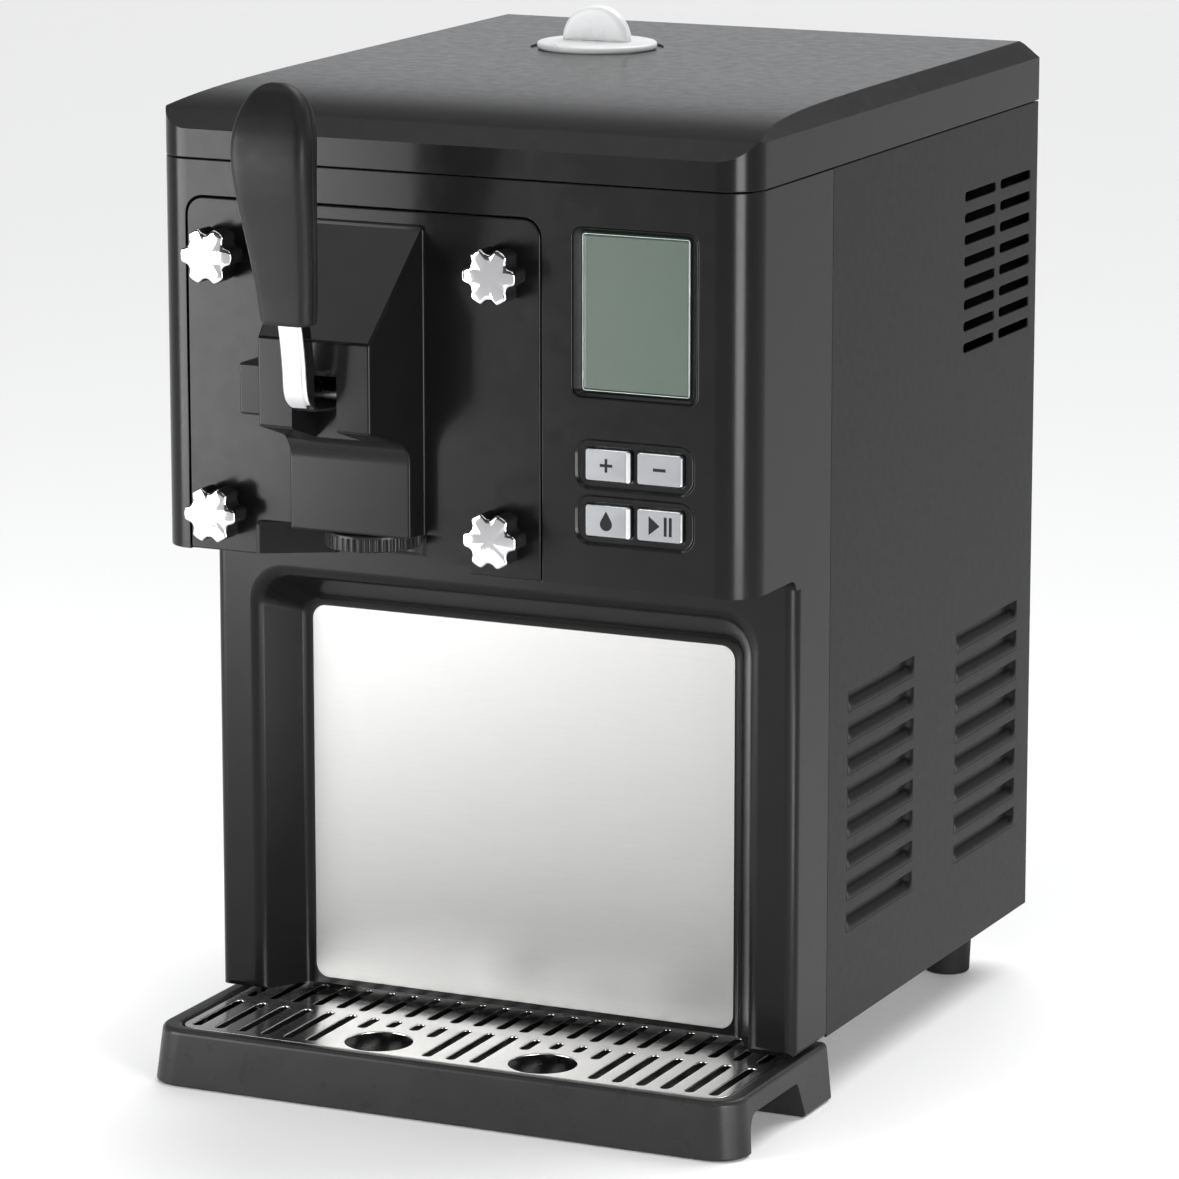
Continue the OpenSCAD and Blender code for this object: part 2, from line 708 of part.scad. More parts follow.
module insulation_jacket() stand() color("#e6e0c8") difference() {
    along_y(axis_x, 48, axis_z, jacket_r, 124);
    along_y(axis_x, 47, axis_z, coil_ring_r + coil_r + 0.3, 126);
}

module dasher() stand() color("#e8e8e6") {
    along_y(axis_x, 44, axis_z, shaft_r, shaft_end - 44);
    along_y(axis_x, 28.5, axis_z, 5, 16);
    for (y = [50, 114, 178], i = [0 : 2]) translate([axis_x, y, axis_z]) rotate([0, i * 120, 0])
        translate([-4, 0, 0]) cube([8, 4, 34]);
    for (i = [0 : 2]) translate([axis_x, 46, axis_z]) rotate([0, i * 120, 0])
        translate([0, 0, 33]) rotate([-90, 0, 0]) cylinder(r = 3, h = 138);
}

module scraper_blades() stand() color("#3f6fa8") for (i = [0 : 2])
    translate([axis_x, 48, axis_z]) rotate([0, i * 120, 0])
        translate([-1.5, 0, 36]) cube([3, 134, 1.6]);

module shaft_seal() stand() color("#7a2a22") difference() {
    along_y(axis_x, cyl_end - 2.5, axis_z, 8.98, 4);
    along_y(axis_x, cyl_end - 4, axis_z, shaft_r + running, 8);
}

module gearbox() stand() color("#8d9094") difference() {
    facing(axis_x, 194, axis_z, gearbox_back - 194) rounded(68, 72, 8);
    along_y(axis_x, 193, axis_z, shaft_r + running, shaft_end - 192);
    along_y(axis_x, 234, axis_z, 4 + running, 20);
}

// A flat-belt pulley on a shaft, with a thin flange on each side.
module pulley(z, r, shaft_y) {
    difference() {
        union() {
            along_y(axis_x, pulley_y, z, r, pulley_w);
            for (y = [pulley_y, pulley_y + pulley_w - 1]) along_y(axis_x, y, z, r + 1.6, 1);
        }
        if (r > 20) for (i = [0 : 4]) translate([axis_x, pulley_y - 1, z]) rotate([0, i * 72, 0])
            translate([0, 0, 18]) rotate([-90, 0, 0]) cylinder(r = 6, h = pulley_w + 2);
    }
    along_y(axis_x, shaft_y, z, 4, pulley_y - shaft_y + eps);
}

module gearbox_pulley() stand() color("#8d9094") pulley(axis_z, big_pulley_r, 236);

module motor_pulley() stand() color("#8d9094") pulley(motor_z, small_pulley_r, 236);

module belt_outline(grow) hull() {
    translate([0, axis_z]) circle(big_pulley_r + grow, $fn = 32);
    translate([0, motor_z]) circle(small_pulley_r + grow, $fn = 32);
}

module drive_belt() stand() color("#1a1a1a") facing(axis_x, pulley_y + 1.4, 0, pulley_w - 2.8)
    difference() {
        belt_outline(0.5 + belt_t);
        belt_outline(0.5);
    }

module drive_motor() stand() color("#b8bab8") difference() {
    union() {
        along_y(axis_x, 170, motor_z, 32, gearbox_back - 170);
        along_y(axis_x, 164, motor_z, 18, 7);
    }
    along_y(axis_x, 234, motor_z, 4 + running, 20);
}

module drive_bracket() stand() color(steel) {
    difference() {
        facing(axis_x, gearbox_back, 242, 2.5) rounded(84, 200, 6);
        for (z = [axis_z, motor_z]) along_y(axis_x, gearbox_back - 1, z, 12, 5);
    }
    translate([axis_x - 36, 214, shelf_z + 1.5]) cube([72, 36, 2.5]);
}

// ---------- cooling ----------

module compressor() stand() color("#1e1f21") translate([compressor_x, compressor_y, 0]) {
    translate([0, 0, 14]) linear_extrude(3) rounded(118, 96, 10);
    translate([0, 0, 17 - eps]) rotate_extrude() polygon(concat([[0, 0], [compressor_r - 3, 0],
        [compressor_r, 4]], arc(compressor_r - 26, 84, 26, 0, 90), [[0, 110]]));
    translate([-16, -compressor_r - 6, 50]) cube([32, 14, 34]);
}

module compressor_mounts() stand() color("#151515")
    for (sx = [-1, 1], sy = [-1, 1]) translate([compressor_x + sx * 49, compressor_y + sy * 38, 1.5])
        cylinder(r = 9, h = 12.4);

module condenser() stand() color("#9a9c9e") {
    for (i = [0 : 23]) translate([112, 112 + i * 9.4, 24]) cube([22, 0.8, 180]);
    for (i = [0 : 7]) along_y(i % 2 == 0 ? 118 : 128, 108, 38 + i * 22, 3.6, 226);
    for (y = [109.5, 331]) translate([111, y, 1.5]) cube([24, 1.2, 203]);
}

module fan_shroud() stand() color("#2a2a2b") {
    difference() {
        translate([107, fan_y - 78, 1.5]) cube([2.5, 156, fan_z + 76.5]);
        along_x(106, fan_y, fan_z, fan_r + 3, 5);
    }
    difference() {
        along_x(82, fan_y, fan_z, fan_r + 5, 25 + eps);
        along_x(81, fan_y, fan_z, fan_r + 3, 30);
    }
    for (i = [0 : 3]) translate([82, fan_y, fan_z]) rotate([i * 90 + 45, 0, 0])
        translate([0, -4, 22.5]) cube([2.5, 8, fan_r - 19]);
}

module fan_blades() stand() color("#303032") translate([0, fan_y, fan_z]) {
    along_x(87, 0, 0, 16, 14);
    along_x(76, 0, 0, 3, 11 + eps);
    for (i = [0 : 6]) rotate([i * 360 / 7, 0, 0]) translate([94, 0, 14]) rotate([0, 0, 32])
        translate([-1, -14, 0]) cube([2, 28, 50]);
}

module fan_motor() stand() color("#8d9094") difference() {
    along_x(52, fan_y, fan_z, 22, 33);
    along_x(74, fan_y, fan_z, 3 + running, 12);
}

// A pipe along straight runs between its points, with a ball at each bend.
module pipe(points, r) for (i = [0 : len(points) - 2]) {
    a = points[i];
    d = points[i + 1] - a;
    length = norm(d);
    translate(a) rotate([0, acos(d[2] / length), atan2(d[1], d[0])]) cylinder(r = r, h = length, $fn = 24);
    translate(points[i + 1]) sphere(r, $fn = 24);
}

// The suction pipe rises to the evaporator, and the discharge pipe runs by a drier to the condenser.
module refrigerant_pipes() stand() color("#b06a3c") {
    coil_x = axis_x - coil_ring_r;
    pipe([[-118, compressor_y, 120], [-118, compressor_y, axis_z], [-118, 180, axis_z],
        [coil_x, 180, axis_z], [coil_x, 165.2, axis_z]], 3);
    pipe([[-23, 241.5, 40], [20, 262, 40], [20, 325, 30], [108, 325, 30]], 3);
    translate([20, 275, 37.5]) rotate([-90, 0, 0]) cylinder(r = 9, h = 34);
}

// A mains inlet and the power switch's frame in one block.
module power_inlet() stand() color("#1b1b1b") {
    difference() {
        union() {
            facing(inlet_x, body_d - 24, inlet_z, 24 + eps) rounded(28, 66.8, 2);
            facing(inlet_x, body_d, inlet_z, 1.5) rounded(34, 74, 3);
        }
        facing(inlet_x, body_d - 16, inlet_z - 18, 20) rounded(24, 16.5, 2);
        facing(inlet_x, body_d - 16, inlet_z + 20, 20) rounded(19.4, 24, 1);
        along_x(inlet_x - 12, body_d - 4, inlet_z + 20, 1.8 + running, 24);
    }
    for (pin = [[-7, -1], [0, 2.5], [7, -1]])
        facing(inlet_x + pin[0], body_d - 16 - eps, inlet_z - 18 + pin[1], 12) square([2, 4.5], center = true);
}

// The rocker tips about its cross pin, which turns in the inlet block's walls.
module rocker_switch() stand() color("#151515") translate([inlet_x, body_d - 4, inlet_z + 20]) {
    across(-9, 18) polygon([[-3, -8], [3.4, -10], [3.2, 0], [5.4, 10], [-3, 8]]);
    along_x(-11.6, 0, 0, 1.8, 23.2);
}

front_panel();
left_panel();
right_panel();
rear_panel();
base_plate();
feet();
rear_screws();
mid_shelf();
top_cover();
front_door();
door_gasket();
knob_top_left();
knob_top_right();
knob_bottom_left();
knob_bottom_right();
knob_cap_top_left();
knob_cap_top_right();
knob_cap_bottom_left();
knob_cap_bottom_right();
lever_arm();
lever_grip();
pivot_pin();
plunger();
plunger_rings();
nozzle_ring();
star_nozzle();
display_bezel();
display_glass();
display_module();
button_plus();
button_minus();
button_clean();
button_play();
control_board();
backsplash();
drip_tray();
drip_grille();
hopper_cap();
mix_hopper();
freezing_cylinder();
evaporator_coil();
insulation_jacket();
dasher();
scraper_blades();
shaft_seal();
gearbox();
gearbox_pulley();
drive_belt();
motor_pulley();
drive_motor();
drive_bracket();
compressor();
compressor_mounts();
condenser();
fan_shroud();
fan_blades();
fan_motor();
refrigerant_pipes();
power_inlet();
rocker_switch();
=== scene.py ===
"""The look of a countertop soft-serve ice cream machine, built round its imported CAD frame.

Shapes are drawn in millimetres in the working frame: X to the right, Y to the back from the
fascia's face, Z up from the body's bottom edge. settle() moves a finished piece to the row frame.
"""

import json
import math

import bmesh
import bpy
from mathutils import Matrix, Vector


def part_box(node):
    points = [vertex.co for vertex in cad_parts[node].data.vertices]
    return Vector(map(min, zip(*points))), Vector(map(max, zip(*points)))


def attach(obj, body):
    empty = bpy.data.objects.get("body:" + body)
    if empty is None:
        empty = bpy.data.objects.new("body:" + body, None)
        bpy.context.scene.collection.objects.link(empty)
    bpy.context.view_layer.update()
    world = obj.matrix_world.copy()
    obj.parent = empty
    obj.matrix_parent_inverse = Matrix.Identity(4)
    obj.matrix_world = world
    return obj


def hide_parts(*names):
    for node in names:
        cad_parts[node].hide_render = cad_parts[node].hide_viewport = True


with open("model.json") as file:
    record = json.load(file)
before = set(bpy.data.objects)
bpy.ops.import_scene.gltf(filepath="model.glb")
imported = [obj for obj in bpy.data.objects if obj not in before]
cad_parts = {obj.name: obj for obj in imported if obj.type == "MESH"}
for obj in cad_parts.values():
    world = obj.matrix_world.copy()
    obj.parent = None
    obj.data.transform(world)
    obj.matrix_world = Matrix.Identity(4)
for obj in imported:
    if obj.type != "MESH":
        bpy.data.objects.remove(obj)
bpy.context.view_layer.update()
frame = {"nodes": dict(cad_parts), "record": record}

MM = 0.001
PANEL_LOW, PANEL_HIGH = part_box("front_panel")
ORIGIN = Vector((0, PANEL_LOW.y, PANEL_LOW.z))
TO_ROW = Matrix.Translation(ORIGIN) @ Matrix.Scale(MM, 4)


def place(node):
    """The lowest and highest corners of a CAD node in the working frame."""
    low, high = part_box(node)
    return (low - ORIGIN) / MM, (high - ORIGIN) / MM


def middle(node):
    low, high = place(node)
    return (low + high) / 2


# ---- sizes taken from the frame

BODY_W = (PANEL_HIGH.x - PANEL_LOW.x) / MM
HALF_W = BODY_W / 2
FRONT_D = place("front_panel")[1].y
SHELL_TOP = place("front_panel")[1].z
BODY_D = place("top_cover")[1].y
FLOOR_Z = place("feet")[0].z
DOOR_LOW, DOOR_HIGH = place("front_door")
AXIS_X = middle("freezing_cylinder").x
AXIS_Z = middle("door_gasket").z
PANEL_X = middle("display_glass").x
WINDOW_Z = middle("display_glass").z
PIVOT = middle("pivot_pin")
OUTLET = middle("star_nozzle")
WALL = 3
FASCIA_Z = 219.5
COLUMN_Y = 52.8
FASCIA_R = 17
COLUMN_R = 5.5


# ---- outlines


def arc(cx, cy, r, start, end, steps):
    """Points on an arc, from the angle start to end in degrees."""
    turns = [math.radians(start + (end - start) * i / steps) for i in range(steps + 1)]
    return [(cx + r * math.cos(t), cy + r * math.sin(t)) for t in turns]


def circle(r, steps=48, cx=0, cy=0):
    return arc(cx, cy, r, 0, 360, steps)[:-1]


def rounded(w, h, r, cx=0, cy=0, steps=8):
    """A rectangle with round corners."""
    points = []
    for sx, sy, start in ((1, 1, 0), (-1, 1, 90), (-1, -1, 180), (1, -1, 270)):
        points += arc(cx + sx * (w / 2 - r), cy + sy * (h / 2 - r), r, start, start + 90, steps)
    return points


def plan(w, y0, y1, r, steps=12):
    """The housing from above: round front corners, square back corners."""
    front = arc(-w / 2 + r, y0 + r, r, 180, 270, steps) + arc(w / 2 - r, y0 + r, r, 270, 360, steps)
    return front + [(w / 2, y1), (-w / 2, y1)]


def round_path(points, radii, steps=6, closed=False):
    """A polyline whose corners are rounded off by tangent arcs."""
    result = []
    count = len(points)
    for i, (point, radius) in enumerate(zip(points, radii)):
        if radius == 0 or (not closed and i in (0, count - 1)):
            result.append(tuple(point))
            continue
        corner = Vector(point)
        before = (Vector(points[i - 1]) - corner).normalized()
        after = (Vector(points[(i + 1) % count]) - corner).normalized()
        half = math.acos(max(-1, min(1, before.dot(after)))) / 2
        reach = radius / math.tan(half)
        centre = corner + (before + after).normalized() * (radius / math.sin(half))
        first = corner + before * reach - centre
        last = corner + after * reach - centre
        sweep = first.angle_signed(last)
        for k in range(steps + 1):
            turn = -sweep * k / steps
            result.append(tuple(centre + Matrix.Rotation(turn, 2) @ first))
    return result


def smooth_through(points, steps=5):
    """A closed curve through the points, as a Catmull-Rom spline."""
    result = []
    count = len(points)
    for i in range(count):
        p0, p1, p2, p3 = (Vector(points[(i + k) % count]) for k in (-1, 0, 1, 2))
        for k in range(steps):
            t = k / steps
            result.append(tuple(0.5 * (2 * p1 + (p2 - p0) * t + (2 * p0 - 5 * p1 + 4 * p2 - p3) * t**2
                                       + (3 * p1 - p0 - 3 * p2 + p3) * t**3)))
    return result


def inset(outline, distance):
    """The outline moved inwards by distance along each corner's bisector."""
    if distance == 0:
        return list(outline)
    count = len(outline)
    area = sum(outline[i - 1][0] * outline[i][1] - outline[i][0] * outline[i - 1][1] for i in range(count))
    side = 1 if area > 0 else -1
    result = []
    for i in range(count):
        a, b, c = (Vector(outline[k % count]) for k in (i - 1, i, i + 1))
        n1 = Vector((-(b - a).y, (b - a).x)).normalized()
        n2 = Vector((-(c - b).y, (c - b).x)).normalized()
        bisector = n1 + n2
        if bisector.length < 1e-6:
            bisector = n1
        bisector.normalize()
        stretch = max(0.5, bisector.dot(n1 if n1.length else n2))
        result.append(tuple(b + bisector * (side * distance / stretch)))
    return result


def blend_keys(keys, t):
    """A value at t from a list of (place, value) pairs, with straight lines between them."""
    for (t0, v0), (t1, v1) in zip(keys, keys[1:]):
        if t <= t1:
            k = max(0.0, (t - t0) / (t1 - t0))
            return v0 + (v1 - v0) * k
    return keys[-1][1]


# ---- meshes


def lift(outline, t, axis):
    """Puts a flat outline at t along an axis: x takes (y, z), y takes (x, z), z takes (x, y)."""
    if axis == "x":
        return [(t, u, v) for u, v in outline]
    if axis == "y":
        return [(u, t, v) for u, v in outline]
    return [(u, v, t) for u, v in outline]


def to_object(name, bm):
    bmesh.ops.recalc_face_normals(bm, faces=bm.faces)
    mesh = bpy.data.meshes.new(name)
    bm.to_mesh(mesh)
    bm.free()
    obj = bpy.data.objects.new(name, mesh)
    bpy.context.scene.collection.objects.link(obj)
    return obj


def loft(name, rings, ends="caps"):
    """Skins rings of equal length. ends is caps, or loop to join the last ring to the first."""
    bm = bmesh.new()
    rows = [[bm.verts.new(p) for p in ring] for ring in rings]
    count = len(rows[0])
    pairs = list(zip(rows, rows[1:])) + ([(rows[-1], rows[0])] if ends == "loop" else [])
    for low, high in pairs:
        for i in range(count):
            j = (i + 1) % count
            bm.faces.new((low[i], low[j], high[j], high[i]))
    if ends == "caps":
        bm.faces.new(rows[0][::-1])
        bm.faces.new(rows[-1])
    return to_object(name, bm)


def stack(name, outline, levels, axis):
    """A solid from one outline: levels are (place along the axis, inset of the outline)."""
    return loft(name, [lift(inset(outline, d), t, axis) for t, d in levels])


def hem(lo, hi, r_lo=0.0, r_hi=0.0, steps=4):
    """Levels for a prism from lo to hi whose end edges are rounded."""
    levels = []
    for r, t, way in ((r_lo, lo, 1), (r_hi, hi, -1)):
        turns = [math.pi / 2 * k / steps for k in range(steps + 1)] if r else [math.pi / 2]
        side = [(t + way * r * (1 - math.cos(a)), r * (1 - math.sin(a))) for a in turns]
        levels += side if way == 1 else side[::-1]
    return levels


def mouth(r, depth, above=1.0, steps=4):
    """Levels for a cutter from Y = -above to depth whose hole gets a round lip of radius r."""
    lip = [(r - r * math.cos(math.pi / 2 * k / steps), -r + r * math.sin(math.pi / 2 * k / steps))
           for k in range(steps + 1)]
    return [(-above, -r)] + lip + [(depth, 0)]


def lathe(name, profile, centre, steps=64, axis="z"):
    """Turns a profile of (radius, height) about an axis through centre."""
    rings = []
    for r, t in profile:
        ring = lift(circle(max(r, 0.01), steps), t, axis)
        rings.append([tuple(Vector(p) + Vector(centre)) for p in ring])
    return loft(name, rings)


def perforated(name, outer, holes, lo, hi, axis, r=0.3, steps=2):
    """A plate with holes. Every edge of the plate and of each hole is rounded by r."""
    bm = bmesh.new()
    turns = [math.pi / 2 * k / steps for k in range(steps + 1)]
    profile = [(lo + r * (1 - math.cos(a)), r * (1 - math.sin(a))) for a in turns]
    profile += [(hi - r * (1 - math.cos(a)), r * (1 - math.sin(a))) for a in turns[::-1]]
    first, last = [], []
    for outline, way in [(outer, 1)] + [(h, -1) for h in holes]:
        rows = [[bm.verts.new(p) for p in lift(inset(outline, way * d), t, axis)] for t, d in profile]
        count = len(outline)
        for low, high in zip(rows, rows[1:]):
            for i in range(count):
                j = (i + 1) % count
                bm.faces.new((low[i], low[j], high[j], high[i]))
        first.append(rows[0])
        last.append(rows[-1])
    for loops in (first, last):
        edges = []
        for row in loops:
            for i, v in enumerate(row):
                w = row[(i + 1) % len(row)]
                edges.append(bm.edges.get((v, w)))
        bmesh.ops.triangle_fill(bm, use_beauty=True, use_dissolve=False, edges=edges)
    return to_object(name, bm)


def boolean(target, cutters, operation="DIFFERENCE"):
    """Cuts each cutter out of the target, or joins it on, and removes the cutters."""
    for cutter in cutters:
        modifier = target.modifiers.new("cut", "BOOLEAN")
        modifier.object = cutter
        modifier.operation = operation
        modifier.solver = "EXACT"
    bake(target)
    for cutter in cutters:
        bpy.data.objects.remove(cutter)
    return target


def bake(obj):
    """Applies the object's modifiers to its mesh."""
    depsgraph = bpy.context.evaluated_depsgraph_get()
    mesh = bpy.data.meshes.new_from_object(obj.evaluated_get(depsgraph))
    obj.modifiers.clear()
    obj.data = mesh
    return obj


def bevel(obj, width, segments=3, angle=30):
    """Rounds the object's sharp edges."""
    modifier = obj.modifiers.new("bevel", "BEVEL")
    modifier.width = width
    modifier.segments = segments
    modifier.limit_method = "ANGLE"
    modifier.angle_limit = math.radians(angle)
    return bake(obj)


def merge(name, objects):
    """Several closed meshes as one piece."""
    bm = bmesh.new()
    for obj in objects:
        bm.from_mesh(obj.data)
        bpy.data.objects.remove(obj)
    return to_object(name, bm)


def mirrored(obj, name):
    """A copy of the object mirrored in X."""
    bm = bmesh.new()
    bm.from_mesh(obj.data)
    bmesh.ops.transform(bm, matrix=Matrix.Scale(-1, 4, (1, 0, 0)), verts=bm.verts)
    return to_object(name, bm)


def settle(obj, name, body, slot, nodes=(), sharp=38, finish=None):
    """Finishes a piece: moves it to the row frame, shades it, and ties it to its body.

    The slot's own material goes on unless another finish is given or the piece has materials.
    """
    obj.name = name
    mesh = obj.data
    mesh.name = name
    mesh.transform(TO_ROW)
    mesh.polygons.foreach_set("use_smooth", [True] * len(mesh.polygons))
    mesh.set_sharp_from_angle(angle=math.radians(sharp))
    obj.modifiers.new("normals", "WEIGHTED_NORMAL").keep_sharp = True
    if not mesh.materials:
        mesh.materials.append(finish or FINISH[slot])
    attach(obj, body)
    if nodes:
        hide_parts(*nodes)
    return obj


# ---- materials


class Paint:
    """A material whose colour, roughness and relief come from its own nodes."""

    def __init__(self, name, colour, roughness, metallic=0.0):
        self.material = bpy.data.materials.new(name)
        self.material.use_nodes = True
        self.tree = self.material.node_tree
        self.shader = self.tree.nodes["Principled BSDF"]
        self.coordinates = self.tree.nodes.new("ShaderNodeTexCoord").outputs["Object"]
        self.colour = colour
        self.set("Base Color", (*colour, 1))
        self.set("Roughness", roughness)
        self.set("Metallic", metallic)
        self.heights = []

    def set(self, socket, value):
        self.shader.inputs[socket].default_value = value
        return self

    def node(self, kind, **settings):
        made = self.tree.nodes.new(kind)
        for key, value in settings.items():
            if key in made.inputs:
                made.inputs[key].default_value = value
            else:
                setattr(made, key, value)
        return made

    def link(self, source, target):
        self.tree.links.new(source, target)

    def noise(self, scale, detail=4.0, stretch=(1, 1, 1), roughness=0.55):
        """Noise with a grain of the given number of cells per metre, stretched along an axis."""
        mapping = self.node("ShaderNodeMapping")
        mapping.inputs["Scale"].default_value = stretch
        self.link(self.coordinates, mapping.inputs["Vector"])
        made = self.node("ShaderNodeTexNoise")
        made.inputs["Scale"].default_value = scale
        made.inputs["Detail"].default_value = detail
        made.inputs["Roughness"].default_value = roughness
        self.link(mapping.outputs["Vector"], made.inputs["Vector"])
        return made.outputs["Fac"]

    def ramp(self, source, low, high, start=0.3, end=0.7):
        """Maps a value from start..end onto low..high."""
        made = self.node("ShaderNodeMapRange")
        made.inputs["From Min"].default_value = start
        made.inputs["From Max"].default_value = end
        made.inputs["To Min"].default_value = low
        made.inputs["To Max"].default_value = high
        self.link(source, made.inputs["Value"])
        return made.outputs["Result"]

    def mottle_roughness(self, source, low, high):
        self.link(self.ramp(source, low, high), self.shader.inputs["Roughness"])
        return self

    def mottle_colour(self, source, darker, lighter):
        """Varies the base colour between two multiples of it."""
        made = self.node("ShaderNodeMix", data_type="RGBA")
        made.inputs[6].default_value = (*(c * darker for c in self.colour), 1)
        made.inputs[7].default_value = (*(min(1, c * lighter) for c in self.colour), 1)
        self.link(self.ramp(source, 0, 1), made.inputs[0])
        self.link(made.outputs[2], self.shader.inputs["Base Color"])
        return self

    def relief(self, source, depth_mm):
        """Adds a bump whose height is depth_mm from the darkest to the lightest grain."""
        made = self.node("ShaderNodeBump")
        made.inputs["Strength"].default_value = 1
        made.inputs["Distance"].default_value = depth_mm * MM
        self.link(source, made.inputs["Height"])
        if self.heights:
            self.link(self.heights[-1], made.inputs["Normal"])
        self.heights.append(made.outputs["Normal"])
        self.link(made.outputs["Normal"], self.shader.inputs["Normal"])
        return self


def plastic(name, colour, low, high, grain=2600, depth=0.012):
    """Moulded plastic: a fine spark-eroded texture, and broad patches of gloss."""
    made = Paint(name, colour, (low + high) / 2)
    made.mottle_roughness(made.noise(150, 5), low, high)
    made.mottle_colour(made.noise(60, 3), 0.92, 1.1)
    made.relief(made.noise(grain, 2), depth)
    made.set("IOR", 1.24)
    return made.material


def brushed(name, colour, stretch, low=0.24, high=0.4, depth=0.004, scale=420):
    """Brushed sheet: long fine scratches along one axis, which also vary the gloss."""
    made = Paint(name, colour, (low + high) / 2, 1.0)
    grain = made.noise(scale, 6, stretch, 0.7)
    made.mottle_roughness(grain, low, high)
    made.mottle_colour(grain, 0.96, 1.04)
    made.relief(grain, depth)
    made.set("Anisotropic", 0.5)
    return made.material


def plated(name, colour, low, high, depth=0.002):
    """Plated or polished metal with faint waves and smears in its gloss."""
    made = Paint(name, colour, (low + high) / 2, 1.0)
    made.mottle_roughness(made.noise(160, 5), low, high)
    made.relief(made.noise(90, 2), depth)
    return made.material


def powder(name, colour, low, high, grain=900, depth=0.02):
    """Powder coat: an orange-peel surface with slight patches."""
    made = Paint(name, colour, (low + high) / 2)
    made.mottle_roughness(made.noise(220, 4), low, high)
    made.mottle_colour(made.noise(90, 3), 0.95, 1.06)
    made.relief(made.noise(grain, 3), depth)
    made.set("IOR", 1.2)
    return made.material


def rubber(name, colour, grain=1800):
    made = Paint(name, colour, 0.7)
    made.mottle_roughness(made.noise(60, 4), 0.6, 0.85)
    made.mottle_colour(made.noise(40, 4), 0.85, 1.25)
    made.relief(made.noise(grain, 3), 0.03)
    made.set("IOR", 1.3)
    return made.material


def translucent(name, colour):
    """Milky moulded plastic that lets light into itself."""
    made = Paint(name, colour, 0.3)
    made.mottle_roughness(made.noise(50, 4), 0.24, 0.42)
    made.mottle_colour(made.noise(70, 4), 0.96, 1.03)
    made.relief(made.noise(240, 3), 0.01)
    made.set("Subsurface Weight", 0.6)
    made.set("Subsurface Scale", 0.006)
    made.set("Subsurface Radius", (1.0, 1.0, 1.0))
    made.set("Coat Weight", 0.2)
    return made.material


def display(name, colour):
    """An unlit display behind a clear window: faint cloud in the colour, glossy coat."""
    made = Paint(name, colour, 0.35)
    made.mottle_colour(made.noise(30, 3), 0.95, 1.06)
    made.mottle_roughness(made.noise(400, 3), 0.3, 0.4)
    made.set("Coat Weight", 0.4)
    made.set("Coat Roughness", 0.04)
    return made.material


def foam(name, colour):
    made = Paint(name, colour, 0.9)
    cells = made.node("ShaderNodeTexVoronoi", Scale=700)
    made.link(made.coordinates, cells.inputs["Vector"])
    made.mottle_colour(made.noise(80, 5), 0.8, 1.1)
    made.relief(cells.outputs["Distance"], 0.4)
    return made.material


LONG_X = (0.02, 1, 1)
LONG_Y = (1, 0.02, 1)
RECIPES = {
    "housing_plastic": (plastic, (0.005, 0.005, 0.0051), 0.19, 0.24),
    "door_plastic": (plastic, (0.005, 0.005, 0.0051), 0.19, 0.24),
    "tray_plastic": (plastic, (0.018, 0.018, 0.0182), 0.26, 0.34),
    "body_metal": (powder, (0.004, 0.004, 0.0041), 0.3, 0.36),
    "plated_steel": (brushed, (0.62, 0.62, 0.6), LONG_Y, 0.3, 0.5),
    "foot_rubber": (rubber, (0.01, 0.01, 0.01)),
    "screw_steel": (plated, (0.6, 0.6, 0.6), 0.2, 0.35),
    "seal_rubber": (rubber, (0.3, 0.06, 0.04)),
    "knob_plastic": (plastic, (0.012, 0.012, 0.012), 0.16, 0.26, 1500, 0.006),
    "knob_chrome": (plated, (0.6, 0.6, 0.61), 0.03, 0.08, 0.001),
    "lever_chrome": (plated, (0.58, 0.58, 0.59), 0.05, 0.12, 0.003),
    "grip_plastic": (plastic, (0.008, 0.008, 0.0081), 0.4, 0.5, 1900, 0.02),
    "food_plastic": (plastic, (0.75, 0.75, 0.73), 0.35, 0.5),
    "blade_plastic": (plastic, (0.06, 0.2, 0.42), 0.35, 0.5),
    "display_glass": (display, (0.026, 0.047, 0.033)),
    "circuit_board": (plastic, (0.03, 0.12, 0.06), 0.25, 0.4, 500, 0.05),
    "button_silver": (plated, (0.2, 0.204, 0.211), 0.3, 0.38, 0.002),
    "backsplash_steel": (brushed, (0.3, 0.298, 0.293), LONG_X, 0.36, 0.44, 0.002, 1500),
    "grille_steel": (brushed, (0.68, 0.68, 0.674), LONG_X, 0.18, 0.28),
    "cap_plastic": (translucent, (0.84, 0.845, 0.85)),
    "hopper_steel": (brushed, (0.6, 0.6, 0.59), LONG_Y),
    "copper": (plated, (0.72, 0.35, 0.2), 0.25, 0.4, 0.02),
    "foam": (foam, (0.78, 0.72, 0.55)),
    "cast_alloy": (powder, (0.42, 0.43, 0.44), 0.45, 0.65, 700, 0.06),
    "belt_rubber": (rubber, (0.015, 0.015, 0.015)),
    "motor_metal": (powder, (0.5, 0.51, 0.51), 0.35, 0.5, 1200, 0.02),
    "compressor_paint": (powder, (0.02, 0.02, 0.022), 0.25, 0.4, 500, 0.05),
    "condenser_fins": (brushed, (0.55, 0.56, 0.57), LONG_Y, 0.35, 0.55),
    "inner_plastic": (plastic, (0.02, 0.02, 0.02), 0.35, 0.5),
}
FINISH = {slot: kind(slot, *values) for slot, (kind, *values) in RECIPES.items()}
PRINT_INK = plastic("print_ink", (0.006, 0.006, 0.0062), 0.5, 0.6)
# Painted highlight: a light, glossy finish that stands in for the light caught by the clear window's
# bevelled edge and by the buttons' chamfers.
PAINTED_HIGHLIGHT = plated("painted_highlight", (0.88, 0.89, 0.9), 0.12, 0.2)


# ---- camera, lights and floor


